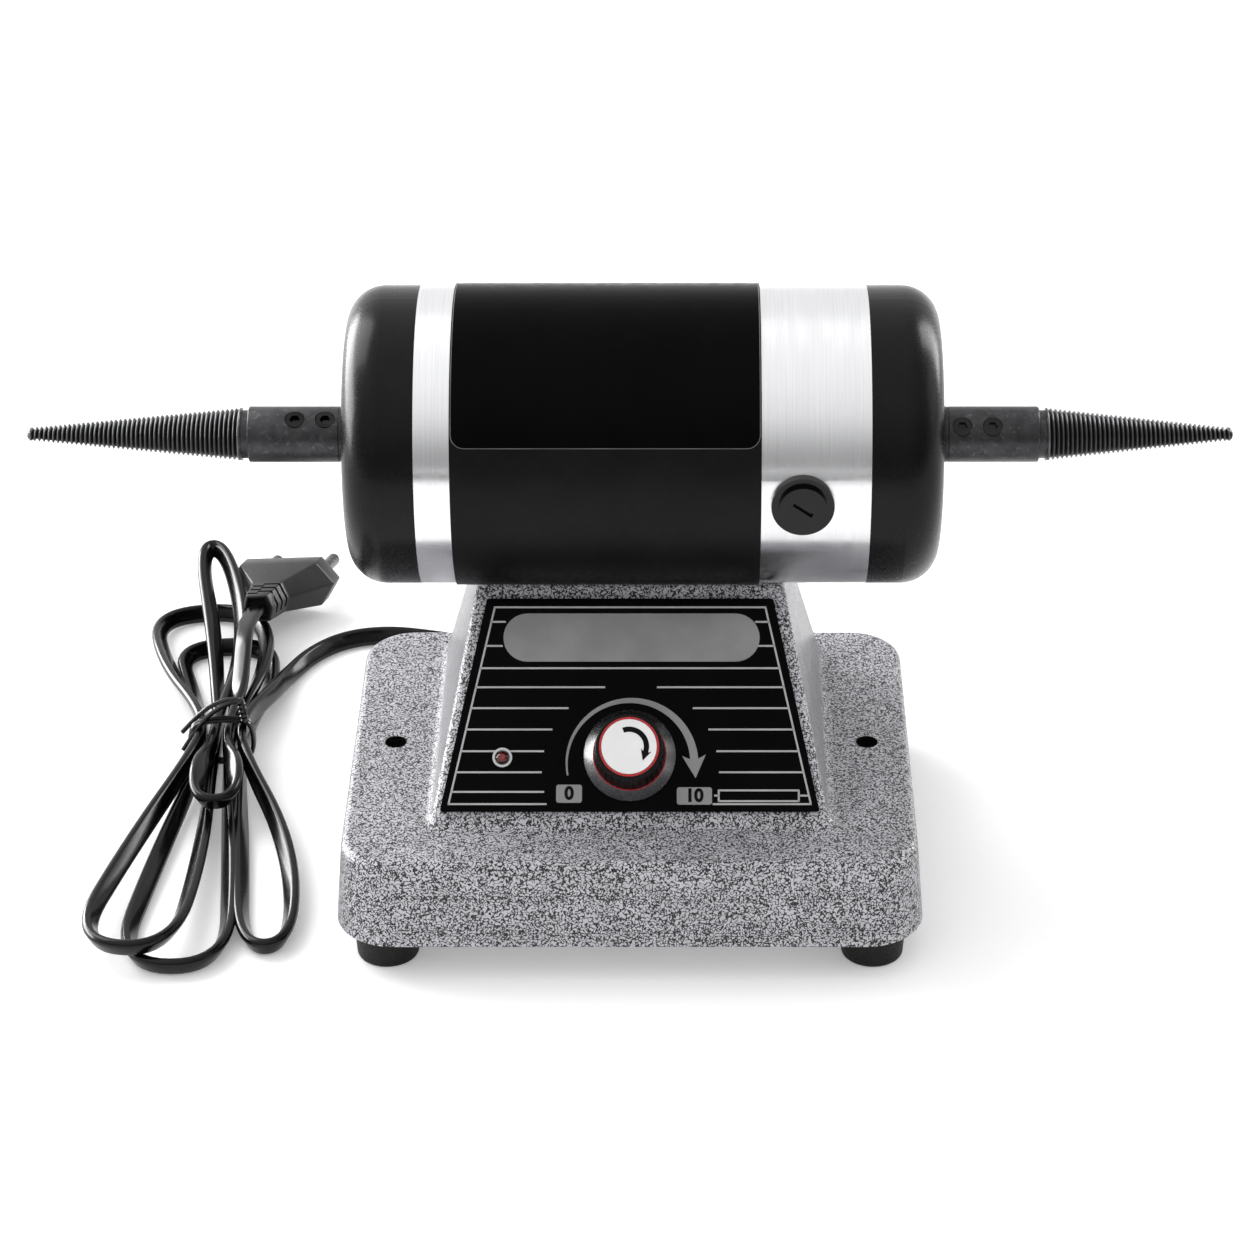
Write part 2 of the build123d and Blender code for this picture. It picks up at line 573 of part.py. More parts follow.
with BuildPart() as knob_body:
    with BuildSketch(KNOB_SPOT.offset(KNOB_FOOT + KNOB_SKIRT_HEIGHT)):
        Circle(KNOB_BODY_DIAMETER / 2)
    with BuildSketch(KNOB_SPOT.offset(KNOB_TOP)):
        Circle(KNOB_BODY_TOP_DIAMETER / 2)
    loft()
    with BuildSketch(KNOB_SPOT.offset(KNOB_FOOT + KNOB_SKIRT_HEIGHT)):
        Circle(KNOB_WELL_DIAMETER / 2)
    extrude(amount=KNOB_WELL_DEPTH - KNOB_SKIRT_HEIGHT, mode=Mode.SUBTRACT)
    with BuildSketch(KNOB_SPOT.offset(KNOB_WELL_TOP)):
        Circle(POT_SHAFT_DIAMETER / 2 + RUNNING_CLEARANCE)
    extrude(amount=POT_SHAFT_GRIP + SEAT_CLEARANCE, mode=Mode.SUBTRACT)
    with BuildSketch(KNOB_SPOT.offset(KNOB_TOP - KNOB_RING_HEIGHT)):
        Circle(KNOB_RING_DIAMETER / 2 + SEAT_CLEARANCE)
    extrude(amount=KNOB_RING_HEIGHT + CUT_OVERRUN, mode=Mode.SUBTRACT)
finish(knob_body, "knob_body")

with BuildPart() as knob_ring:
    with BuildSketch(KNOB_SPOT.offset(KNOB_TOP - KNOB_RING_HEIGHT)):
        Circle(KNOB_RING_DIAMETER / 2)
        Circle(KNOB_CAP_DIAMETER / 2 + SEAT_CLEARANCE, mode=Mode.SUBTRACT)
    extrude(amount=KNOB_RING_HEIGHT)
finish(knob_ring, "knob_ring")

with BuildPart() as knob_cap:
    with BuildSketch(KNOB_SPOT.offset(KNOB_TOP - KNOB_RING_HEIGHT)):
        Circle(KNOB_CAP_DIAMETER / 2)
    extrude(amount=KNOB_RING_HEIGHT + KNOB_CAP_STAND)
finish(knob_cap, "knob_cap")

# Speed control board on standoffs over the bottom cover
BOARD_FOOT = FOOT_HEIGHT + COVER_THICKNESS
BOARD_TOP = BOARD_FOOT + STANDOFF_HEIGHT + BOARD_THICKNESS
with BuildPart() as board_standoffs:
    with BuildSketch(Plane.XY.offset(BOARD_FOOT)):
        with Locations((0, BOARD_CENTRE)):
            with GridLocations(
                BOARD_LENGTH - 2 * STANDOFF_INSET, BOARD_DEPTH - 2 * STANDOFF_INSET, 2, 2
            ):
                Circle(STANDOFF_DIAMETER / 2)
    extrude(amount=STANDOFF_HEIGHT)
finish(board_standoffs, "board_standoffs")

with BuildPart() as control_board:
    with BuildSketch(Plane.XY.offset(BOARD_FOOT + STANDOFF_HEIGHT)):
        with Locations((0, BOARD_CENTRE)):
            Rectangle(BOARD_LENGTH, BOARD_DEPTH)
    extrude(amount=BOARD_THICKNESS)
finish(control_board, "control_board")

HEAT_SINK_PITCH = (HEAT_SINK_LENGTH - HEAT_SINK_FIN) / (HEAT_SINK_FINS - 1)
with BuildPart() as heat_sink:
    with BuildSketch(Plane.XY.offset(BOARD_TOP)):
        with Locations((HEAT_SINK_OFFSET, BOARD_CENTRE)):
            with Locations((0, (HEAT_SINK_DEPTH - HEAT_SINK_SPINE) / 2)):
                Rectangle(HEAT_SINK_LENGTH, HEAT_SINK_SPINE)
            with GridLocations(HEAT_SINK_PITCH, 0, HEAT_SINK_FINS, 1):
                Rectangle(HEAT_SINK_FIN, HEAT_SINK_DEPTH)
    extrude(amount=HEAT_SINK_HEIGHT)
finish(heat_sink, "heat_sink")

with BuildPart() as capacitor:
    with BuildSketch(Plane.XY.offset(BOARD_TOP)):
        with Locations((CAPACITOR_OFFSET, BOARD_CENTRE)):
            Circle(CAPACITOR_DIAMETER / 2)
    extrude(amount=CAPACITOR_HEIGHT)
finish(capacitor, "capacitor")


# Brush gear: planes through the motor axis that look out to the front and to the back
def brush_line(facing, distance):
    """A plane square to the brush's line, at a distance from the motor axis."""
    return Plane(
        origin=(BRUSH_STATION, AXIS_DEPTH + facing * distance, AXIS_HEIGHT),
        x_dir=(-facing, 0, 0),
        z_dir=(0, facing, 0),
    )


# Motor tube
with BuildPart() as motor_tube:
    with BuildSketch(cross_section(TUBE_ENDS["left"])):
        Circle(MOTOR_RADIUS)
        Circle(TUBE_INNER_RADIUS, mode=Mode.SUBTRACT)
    extrude(amount=TUBE_LENGTH)
    for facing in FACINGS.values():
        with BuildSketch(brush_line(facing, HOLDER_ROOT)):
            Circle(HOLDER_DIAMETER / 2 + SEAT_CLEARANCE)
        extrude(amount=MOTOR_RADIUS, mode=Mode.SUBTRACT)
    with BuildSketch(Plane.XY.offset(AXIS_HEIGHT - MOTOR_RADIUS)):
        with Locations(*MOTOR_SCREW_SPOTS):
            Circle(MOTOR_SCREW_DIAMETER / 2 + SEAT_CLEARANCE)
    extrude(amount=TUBE_WALL + CUT_OVERRUN, mode=Mode.SUBTRACT)
finish(motor_tube, "motor_tube")

# Band round the tube, open below where the tube lies in its saddle
with BuildPart() as motor_band:
    with BuildSketch(cross_section(BAND_START)):
        Circle(MOTOR_RADIUS + BAND_CLEARANCE + BAND_THICKNESS)
        Circle(MOTOR_RADIUS + BAND_CLEARANCE, mode=Mode.SUBTRACT)
        with BuildLine():
            Polyline(
                (0, 0),
                (-MOTOR_DIAMETER * math.tan(math.radians(BAND_OPENING / 2)), -MOTOR_DIAMETER),
                (MOTOR_DIAMETER * math.tan(math.radians(BAND_OPENING / 2)), -MOTOR_DIAMETER),
                close=True,
            )
        make_face(mode=Mode.SUBTRACT)
    extrude(amount=BAND_WIDTH)
finish(motor_band, "motor_band")

# End caps, each with its bearing seat, and the bearings in them
CAP_INNER_RADIUS = MOTOR_RADIUS - CAP_WALL
BEARING_RADIUS = BEARING_DIAMETER / 2
SHAFT_RADIUS = BEARING_BORE / 2
INNER_RACE_RADIUS = SHAFT_RADIUS + BEARING_INNER_WALL
OUTER_RACE_RADIUS = BEARING_RADIUS - BEARING_OUTER_WALL
BALL_RADIUS = (OUTER_RACE_RADIUS - INNER_RACE_RADIUS) / 2 - RUNNING_CLEARANCE
BALL_CIRCLE = (OUTER_RACE_RADIUS + INNER_RACE_RADIUS) / 2
BEARING_FACE = CAP_LENGTH - CAP_END_WALL
BEARING_STATION = {
    side_name: TUBE_ENDS[side_name] + side * (BEARING_FACE - BEARING_WIDTH / 2)
    for side_name, side in SIDES.items()
}

for side_name, side in SIDES.items():
    seam = TUBE_ENDS[side_name]
    with BuildPart() as end_cap:
        with BuildSketch(MOTOR_PROFILE):
            with BuildLine():
                outside = Polyline(
                    (seam + side * (CAP_LENGTH - CAP_LIP), SHAFT_RADIUS + SHAFT_SIDE_GAP),
                    (seam + side * CAP_LENGTH, SHAFT_RADIUS + SHAFT_SIDE_GAP),
                    (seam + side * CAP_LENGTH, MOTOR_RADIUS - CAP_ROUND),
                )
                RadiusArc(
                    outside @ 1,
                    (seam + side * (CAP_LENGTH - CAP_ROUND), MOTOR_RADIUS),
                    -side * CAP_ROUND,
                )
                Polyline(
                    (seam + side * (CAP_LENGTH - CAP_ROUND), MOTOR_RADIUS),
                    (seam, MOTOR_RADIUS),
                    (seam, TUBE_INNER_RADIUS - SEAT_CLEARANCE),
                    (seam - side * CAP_SPIGOT, TUBE_INNER_RADIUS - SEAT_CLEARANCE),
                    (seam - side * CAP_SPIGOT, CAP_INNER_RADIUS),
                    (seam + side * BEARING_FACE, CAP_INNER_RADIUS),
                    (seam + side * BEARING_FACE, BEARING_RADIUS + BEARING_SEAT_WALL),
                    (seam + side * (BEARING_FACE - BEARING_WIDTH), BEARING_RADIUS + BEARING_SEAT_WALL),
                    (seam + side * (BEARING_FACE - BEARING_WIDTH), BEARING_RADIUS + SEAT_CLEARANCE),
                    (seam + side * BEARING_FACE, BEARING_RADIUS + SEAT_CLEARANCE),
                    (seam + side * BEARING_FACE, OUTER_RACE_RADIUS),
                    (seam + side * (CAP_LENGTH - CAP_LIP), OUTER_RACE_RADIUS),
                    outside @ 0,
                )
            make_face()
        revolve(axis=MOTOR_AXIS)
    finish(end_cap, f"end_cap_{side_name}")

    bearing_start = BEARING_STATION[side_name] - BEARING_WIDTH / 2
    with BuildPart() as bearing_outer:
        with BuildSketch(cross_section(bearing_start)):
            Circle(BEARING_RADIUS)
            Circle(OUTER_RACE_RADIUS, mode=Mode.SUBTRACT)
        extrude(amount=BEARING_WIDTH)
    finish(bearing_outer, f"bearing_outer_{side_name}")

    with BuildPart() as bearing_inner:
        with BuildSketch(cross_section(bearing_start)):
            Circle(INNER_RACE_RADIUS)
            Circle(SHAFT_RADIUS + SEAT_CLEARANCE, mode=Mode.SUBTRACT)
        extrude(amount=BEARING_WIDTH)
    finish(bearing_inner, f"bearing_inner_{side_name}")

    with BuildPart() as bearing_balls:
        with Locations(cross_section(BEARING_STATION[side_name])):
            with PolarLocations(BALL_CIRCLE, BALL_COUNT):
                Sphere(BALL_RADIUS)
    finish(bearing_balls, f"bearing_balls_{side_name}")

# Magnets inside the tube, facing each other across the armature
MAGNET_OUTER_RADIUS = TUBE_INNER_RADIUS - SEAT_CLEARANCE
MAGNET_INNER_RADIUS = MAGNET_OUTER_RADIUS * (1 - MAGNET_SHARE)
for facing_name, facing in FACINGS.items():
    with BuildPart() as magnet:
        with BuildSketch(cross_section(MAGNET_CENTRE - MAGNET_LENGTH / 2)):
            Circle(MAGNET_OUTER_RADIUS)
            Circle(MAGNET_INNER_RADIUS, mode=Mode.SUBTRACT)
            with BuildLine():
                Polyline(
                    (0, 0),
                    (facing * MOTOR_DIAMETER, MOTOR_DIAMETER * math.tan(math.radians(MAGNET_SPAN / 2))),
                    (facing * MOTOR_DIAMETER, -MOTOR_DIAMETER * math.tan(math.radians(MAGNET_SPAN / 2))),
                    close=True,
                )
            make_face(mode=Mode.INTERSECT)
        extrude(amount=MAGNET_LENGTH)
    finish(magnet, f"magnet_{facing_name}")

# Brush holders, brushes, springs and screw caps
COMMUTATOR_RADIUS = COMMUTATOR_DIAMETER / 2
HOLDER_TOP = MOTOR_RADIUS + HOLDER_FLANGE_STAND
BRUSH_FOOT = COMMUTATOR_RADIUS + BRUSH_GAP
SPRING_FOOT = BRUSH_FOOT + BRUSH_LENGTH
SPRING_TOP = HOLDER_TOP - BRUSH_CAP_SHANK_LENGTH
for facing_name, facing in FACINGS.items():
    with BuildPart() as brush_holder:
        with BuildSketch(brush_line(facing, HOLDER_ROOT)):
            Circle(HOLDER_FLANGE_DIAMETER / 2)
        extrude(amount=HOLDER_TOP - HOLDER_ROOT)
        with BuildSketch(cross_section(BRUSH_STATION - HOLDER_FLANGE_DIAMETER)):
            Circle(MOTOR_RADIUS)
        extrude(amount=2 * HOLDER_FLANGE_DIAMETER, mode=Mode.SUBTRACT)
        with BuildSketch(brush_line(facing, HOLDER_ROOT)):
            Circle(HOLDER_DIAMETER / 2)
        extrude(amount=HOLDER_TOP - HOLDER_ROOT)
        with BuildSketch(brush_line(facing, HOLDER_ROOT)):
            Rectangle(BRUSH_WIDTH + 2 * SEAT_CLEARANCE, BRUSH_WIDTH + 2 * SEAT_CLEARANCE)
        extrude(amount=SPRING_TOP - HOLDER_ROOT, mode=Mode.SUBTRACT)
        with BuildSketch(brush_line(facing, SPRING_TOP)):
            Circle(BRUSH_CAP_SHANK_DIAMETER / 2 + SEAT_CLEARANCE)
        extrude(amount=BRUSH_CAP_SHANK_LENGTH, mode=Mode.SUBTRACT)
    finish(brush_holder, f"brush_holder_{facing_name}")

    with BuildPart() as carbon_brush:
        with BuildSketch(brush_line(facing, BRUSH_FOOT)):
            Rectangle(BRUSH_WIDTH, BRUSH_WIDTH)
        extrude(amount=BRUSH_LENGTH)
        with BuildSketch(cross_section(BRUSH_STATION - BRUSH_WIDTH)):
            Circle(BRUSH_FOOT)
        extrude(amount=2 * BRUSH_WIDTH, mode=Mode.SUBTRACT)
    finish(carbon_brush, f"carbon_brush_{facing_name}")

    spring_reach = SPRING_TOP - SPRING_FOOT - SPRING_WIRE - 2 * SEAT_CLEARANCE
    with BuildPart() as brush_spring:
        with BuildLine():
            spring_line = Helix(
                pitch=spring_reach / SPRING_TURNS,
                height=spring_reach,
                radius=(SPRING_DIAMETER - SPRING_WIRE) / 2,
                center=brush_line(facing, SPRING_FOOT + SPRING_WIRE / 2 + SEAT_CLEARANCE).origin,
                direction=(0, facing, 0),
            )
        with BuildSketch(Plane(origin=spring_line @ 0, z_dir=spring_line % 0)):
            Circle(SPRING_WIRE / 2)
        sweep(path=spring_line, is_frenet=True)
    finish(brush_spring, f"brush_spring_{facing_name}")

    with BuildPart() as brush_cap:
        with BuildSketch(brush_line(facing, SPRING_TOP)):
            Circle(BRUSH_CAP_SHANK_DIAMETER / 2)
        extrude(amount=BRUSH_CAP_SHANK_LENGTH)
        with BuildSketch(brush_line(facing, HOLDER_TOP)):
            Circle(BRUSH_CAP_DIAMETER / 2)
        extrude(amount=BRUSH_CAP_STAND)
        with BuildSketch(brush_line(facing, HOLDER_TOP + BRUSH_CAP_STAND)):
            with Locations(Location((0, 0), BRUSH_SLOT_ANGLE)):
                Rectangle(BRUSH_SLOT_LENGTH, BRUSH_SLOT_WIDTH)
        extrude(amount=-BRUSH_SLOT_DEPTH, mode=Mode.SUBTRACT)
    finish(brush_cap, f"brush_cap_{facing_name}")

# Motor shaft, with a thicker middle between the bearings
CAP_ENDS = {side_name: TUBE_ENDS[side_name] + side * CAP_LENGTH for side_name, side in SIDES.items()}
SLEEVE_STARTS = {side_name: CAP_ENDS[side_name] + side * SLEEVE_GAP for side_name, side in SIDES.items()}
SHAFT_LEFT = SLEEVE_STARTS["left"] - SHAFT_GRIP
SHAFT_RIGHT = SLEEVE_STARTS["right"] + SHAFT_GRIP
SHOULDER_LEFT = BEARING_STATION["left"] + BEARING_WIDTH / 2
SHOULDER_RIGHT = BEARING_STATION["right"] - BEARING_WIDTH / 2
with BuildPart() as motor_shaft:
    with BuildSketch(cross_section(SHAFT_LEFT)):
        Circle(SHAFT_RADIUS)
    extrude(amount=SHAFT_RIGHT - SHAFT_LEFT)
    with BuildSketch(cross_section(SHOULDER_LEFT)):
        Circle(SHAFT_SHOULDER / 2)
    extrude(amount=SHOULDER_RIGHT - SHOULDER_LEFT)
finish(motor_shaft, "motor_shaft")

# Armature: slotted core, windings in the slots and round both ends, and the commutator
ARMATURE_RADIUS = MAGNET_INNER_RADIUS - AIR_GAP
ARMATURE_LEFT = MAGNET_CENTRE - ARMATURE_LENGTH / 2
SLOT_DEPTH = ARMATURE_RADIUS * SLOT_DEPTH_SHARE
SLOT_WIDTH = 2 * math.pi * ARMATURE_RADIUS / ARMATURE_SLOTS * SLOT_WIDTH_SHARE
with BuildPart() as armature_core:
    with BuildSketch(cross_section(ARMATURE_LEFT)):
        Circle(ARMATURE_RADIUS)
        Circle(SHAFT_SHOULDER / 2 + SEAT_CLEARANCE, mode=Mode.SUBTRACT)
        with PolarLocations(ARMATURE_RADIUS - SLOT_DEPTH / 2, ARMATURE_SLOTS):
            Rectangle(SLOT_DEPTH + CUT_OVERRUN, SLOT_WIDTH, mode=Mode.SUBTRACT)
    extrude(amount=ARMATURE_LENGTH)
finish(armature_core, "armature_core")

WINDING_DEPTH = SLOT_DEPTH - 2 * WINDING_CLEARANCE
with BuildPart() as armature_windings:
    for overhang_start in (ARMATURE_LEFT - WINDING_OVERHANG, ARMATURE_LEFT + ARMATURE_LENGTH):
        with BuildSketch(cross_section(overhang_start)):
            Circle(ARMATURE_RADIUS - WINDING_CLEARANCE)
            Circle(ARMATURE_RADIUS * WINDING_BORE_SHARE, mode=Mode.SUBTRACT)
        extrude(amount=WINDING_OVERHANG)
    with BuildSketch(cross_section(ARMATURE_LEFT)):
        with PolarLocations(ARMATURE_RADIUS - SLOT_DEPTH / 2, ARMATURE_SLOTS):
            Rectangle(WINDING_DEPTH, SLOT_WIDTH - 2 * WINDING_CLEARANCE)
    extrude(amount=ARMATURE_LENGTH)
finish(armature_windings, "armature_windings")

with BuildPart() as commutator:
    with BuildSketch(cross_section(BRUSH_STATION - COMMUTATOR_LENGTH / 2)):
        Circle(COMMUTATOR_RADIUS)
        Circle(SHAFT_SHOULDER / 2 + SEAT_CLEARANCE, mode=Mode.SUBTRACT)
        with PolarLocations(COMMUTATOR_RADIUS - COMMUTATOR_SLOT_DEPTH / 2, COMMUTATOR_SLOTS):
            Rectangle(COMMUTATOR_SLOT_DEPTH, COMMUTATOR_SLOT_WIDTH, mode=Mode.SUBTRACT)
    extrude(amount=COMMUTATOR_LENGTH)
finish(commutator, "commutator")

# Tapered spindles on the shaft's two ends, and the set screws that hold them
SLEEVE_RADIUS = SLEEVE_DIAMETER / 2
for side_name, side in SIDES.items():
    sleeve_start = SLEEVE_STARTS[side_name]
    sleeve_end = sleeve_start + side * SLEEVE_LENGTH
    neck_end = sleeve_end + side * NECK_LENGTH
    tip = side * SPINDLE_SPAN / 2
    screw_angle = math.radians(SET_SCREW_ANGLE[side_name])
    screw_direction = Vector(0, -math.cos(screw_angle), math.sin(screw_angle))
    screw_stations = [
        sleeve_start + side * SET_SCREW_FIRST,
        sleeve_start + side * (SET_SCREW_FIRST + SET_SCREW_STEP),
    ]
    with BuildPart() as spindle:
        with BuildSketch(MOTOR_PROFILE):
            with BuildLine():
                Polyline(
                    (sleeve_start + side * (SHAFT_GRIP + SEAT_CLEARANCE), 0),
                    (sleeve_start + side * (SHAFT_GRIP + SEAT_CLEARANCE), SHAFT_RADIUS + SEAT_CLEARANCE),
                    (sleeve_start, SHAFT_RADIUS + SEAT_CLEARANCE),
                    (sleeve_start, SLEEVE_RADIUS - SLEEVE_CHAMFER),
                    (sleeve_start + side * SLEEVE_CHAMFER, SLEEVE_RADIUS),
                    (sleeve_end, SLEEVE_RADIUS),
                    (sleeve_end, NECK_DIAMETER / 2),
                    (neck_end, NECK_DIAMETER / 2),
                    (neck_end, TAPER_DIAMETER / 2),
                    (tip - side * TIP_ROUND, TIP_DIAMETER / 2),
                    (tip, TIP_DIAMETER / 2 - TIP_ROUND),
                    (tip, 0),
                    close=True,
                )
            make_face()
        revolve(axis=MOTOR_AXIS)
        for screw_station in screw_stations:
            with BuildSketch(
                Plane(origin=(screw_station, AXIS_DEPTH, AXIS_HEIGHT), x_dir=(1, 0, 0), z_dir=screw_direction)
            ):
                Circle(SET_SCREW_DIAMETER / 2 + SEAT_CLEARANCE)
            extrude(amount=SLEEVE_DIAMETER, mode=Mode.SUBTRACT)
    finish(spindle, f"spindle_{side_name}")

    with BuildPart() as set_screws:
        for screw_station in screw_stations:
            screw_plane = Plane(
                origin=(screw_station, AXIS_DEPTH, AXIS_HEIGHT), x_dir=(1, 0, 0), z_dir=screw_direction
            )
            with BuildSketch(screw_plane.offset(SHAFT_RADIUS + SEAT_CLEARANCE)):
                Circle(SET_SCREW_DIAMETER / 2)
            extrude(amount=SLEEVE_RADIUS - SET_SCREW_SINK - SHAFT_RADIUS - SEAT_CLEARANCE)
            with BuildSketch(screw_plane.offset(SLEEVE_RADIUS - SET_SCREW_SINK)):
                RegularPolygon(SET_SCREW_SOCKET / 2, side_count=6, major_radius=False)
            extrude(amount=-SET_SCREW_SOCKET_DEPTH, mode=Mode.SUBTRACT)
    finish(set_screws, f"set_screws_{side_name}")

# Strain relief in the back wall of the base, square to that wall
GLAND_NORMAL = Vector(0, math.cos(math.radians(BASE_DRAFT)), math.sin(math.radians(BASE_DRAFT)))
GLAND_PLANE = Plane(
    origin=(
        GLAND_OFFSET,
        BASE_DEPTH / 2 - GLAND_RISE * math.tan(math.radians(BASE_DRAFT)),
        FOOT_HEIGHT + GLAND_RISE,
    ),
    x_dir=(-1, 0, 0),
    z_dir=GLAND_NORMAL,
)
with BuildPart() as strain_relief:
    with BuildSketch(GLAND_PLANE.offset(-BASE_WALL - GLAND_STAND)):
        Circle(GLAND_DIAMETER / 2)
    extrude(amount=BASE_WALL + GLAND_STAND)
    with BuildSketch(GLAND_PLANE):
        Circle(GLAND_FLANGE_DIAMETER / 2)
    extrude(amount=GLAND_FLANGE)
    with BuildSketch(GLAND_PLANE.offset(GLAND_FLANGE)):
        Circle(GLAND_TAIL_DIAMETER / 2)
    with BuildSketch(GLAND_PLANE.offset(GLAND_FLANGE + GLAND_TAIL)):
        Circle(GLAND_TAIL_END_DIAMETER / 2)
    loft()
finish(strain_relief, "strain_relief")


# The cord's route: a free lead, a tied hank whose lobes fan out from a waist, and a free run to the plug
CORD_LIFT = CORD_DIAMETER / 2 + SEAT_CLEARANCE
CORD_START = GLAND_PLANE.from_local_coords((0, 0, GLAND_FLANGE + GLAND_TAIL))
plug_turn = math.radians(PLUG_HEADING)
plug_pitch = math.radians(PLUG_PITCH)
plug_roll = math.radians(PLUG_ROLL)
PLUG_FORWARD = Vector(
    math.cos(plug_turn) * math.cos(plug_pitch),
    math.sin(plug_turn) * math.cos(plug_pitch),
    math.sin(plug_pitch),
)
plug_level = Vector(math.sin(plug_turn), -math.cos(plug_turn), 0)
PLUG_RIGHT = plug_level * math.cos(plug_roll) + plug_level.cross(PLUG_FORWARD) * math.sin(plug_roll)
PLUG_PLANE = Plane(origin=PLUG_START, x_dir=PLUG_RIGHT, z_dir=PLUG_FORWARD)


def waist_point(slot, facing):
    """Where a strand passes one side of the waist, in its column and layer."""
    column, layer = slot
    return Vector(
        HANK_WAIST_X + (column - (HANK_COLUMNS - 1) / 2) * HANK_COLUMN_STEP,
        HANK_WAIST_Y + facing * HANK_WAIST_LENGTH / 2,
        CORD_LIFT + HANK_WAIST_LIFT + layer * HANK_LAYER_STEP,
    )


def lobe_points(facing, swing, reach, tip_width, flare_width, bow, heights, entry, first_slot, last_slot):
    """A lobe of the hank: out along one strand, round its tip and back along the other strand."""
    turn = math.radians(swing)
    outward = Vector(math.sin(turn), facing * math.cos(turn), 0)
    across = Vector(math.cos(turn), -facing * math.sin(turn), 0)
    root = (waist_point(first_slot, facing) + waist_point(last_slot, facing)) / 2
    root = Vector(root.X, root.Y, 0)
    flare = root + outward * (reach * HANK_FLARE_SHARE) + across * bow
    tip_centre = root + outward * reach
    flare_in, tip_height, flare_out = heights
    return [
        flare + across * (entry * flare_width / 2) + Vector(0, 0, flare_in),
        tip_centre + across * (entry * tip_width / 2) + Vector(0, 0, tip_height),
        tip_centre - across * (entry * tip_width / 2) + Vector(0, 0, tip_height),
        flare - across * (entry * flare_width / 2) + Vector(0, 0, flare_out),
    ]


hank_points = []
for facing, *form, first_slot, last_slot in HANK_LOBES:
    hank_points += [waist_point(first_slot, -facing), waist_point(first_slot, facing)]
    hank_points += lobe_points(facing, *form, first_slot, last_slot)
final_slot = HANK_LOBES[-1][-1]
hank_points += [waist_point(final_slot, -1), waist_point(final_slot, 1)]

lead_points = [CORD_START, CORD_START + GLAND_NORMAL * END_RUN]
lead_points += [Vector(*point) for point in LEAD_ROUTE]
tail_points = [Vector(*point) for point in PLUG_ROUTE]
tail_points += [PLUG_PLANE.from_local_coords((0, 0, -END_RUN)), PLUG_PLANE.origin]
hank_start = (lead_points[-1] + hank_points[0]) / 2
hank_end = (hank_points[-1] + tail_points[0]) / 2


def corner_radii(points):
    """The arc at each corner: as large as the shorter of its two runs allows."""
    radii = []
    for before, corner, after in zip(points, points[1:], points[2:]):
        turn = (corner - before).get_angle(after - corner)
        shorter = min((corner - before).length, (after - corner).length)
        radii.append(CORNER_SHARE * shorter / math.tan(math.radians(turn) / 2))
    return radii


def least_gap(line):
    """The least gap between a tube's strands, from points along its line."""
    count = round(line.length / GAP_STEP)
    points = [tuple(line @ (index / count)) for index in range(count + 1)]
    skip = round(GAP_NEIGHBOUR / GAP_STEP)
    return (
        min(
            math.dist(point, other)
            for index, point in enumerate(points)
            for other in points[index + skip :]
        )
        - CORD_DIAMETER
    )


CORD_STRETCHES = {
    "cord_lead": lead_points + [hank_start],
    "cord_hank": [hank_start] + hank_points + [hank_end],
    "plug_lead": [hank_end] + tail_points,
}
for stretch_name, stretch_points in CORD_STRETCHES.items():
    stretch_radii = corner_radii(stretch_points)
    with BuildPart() as stretch:
        with BuildLine() as stretch_wire:
            FilletPolyline(*stretch_points, radius=stretch_radii)
        stretch_line = stretch_wire.wire()
        with BuildSketch(Plane(origin=stretch_line @ 0, z_dir=stretch_line % 0)):
            Circle(CORD_DIAMETER / 2)
        sweep(path=stretch_line)
    section = math.pi * CORD_DIAMETER**2 / 4
    print(
        f"{stretch_name}: length {stretch_line.length:.1f}, least radius {min(stretch_radii):.1f}, "
        f"volume against section times length {stretch.part.volume / section / stretch_line.length:.4f}"
    )
    if stretch_name == "cord_hank":
        print(f"{stretch_name}: least gap to itself {least_gap(stretch_line):.2f}")
    finish(stretch, stretch_name)

# Tie round the hank's waist
TIE_LENGTH = (HANK_COLUMNS - 1) * HANK_COLUMN_STEP + CORD_DIAMETER + 2 * TIE_CLEARANCE
TIE_HEIGHT = (HANK_LAYERS - 1) * HANK_LAYER_STEP + CORD_DIAMETER + 2 * TIE_CLEARANCE
TIE_MIDDLE = CORD_LIFT + HANK_WAIST_LIFT + (HANK_LAYERS - 1) * HANK_LAYER_STEP / 2
with BuildPart() as cord_tie:
    tie_face = (HANK_WAIST_X, HANK_WAIST_Y - TIE_WIDTH / 2, TIE_MIDDLE)
    with BuildSketch(Plane(origin=tie_face, x_dir=(-1, 0, 0), z_dir=(0, 1, 0))):
        RectangleRounded(TIE_LENGTH + 2 * TIE_THICKNESS, TIE_HEIGHT + 2 * TIE_THICKNESS, CORD_DIAMETER / 2)
        RectangleRounded(TIE_LENGTH, TIE_HEIGHT, CORD_DIAMETER / 2 - TIE_CLEARANCE, mode=Mode.SUBTRACT)
    extrude(amount=TIE_WIDTH)
finish(cord_tie, "cord_tie")



# Plug: a flat six-sided plate with two pins, behind a faceted shoulder and a grooved neck
def plug_section(share):
    """Draws the plug's six-sided section, whole or drawn in by a share."""
    half_flat = share * PLUG_FLAT_WIDTH / 2
    half_width = share * PLUG_WIDTH / 2
    half_height = (1 + share) / 4 * PLUG_THICKNESS
    Polygon(
        (-half_width, 0),
        (-half_flat, -half_height),
        (half_flat, -half_height),
        (half_width, 0),
        (half_flat, half_height),
        (-half_flat, half_height),
        align=None,
    )


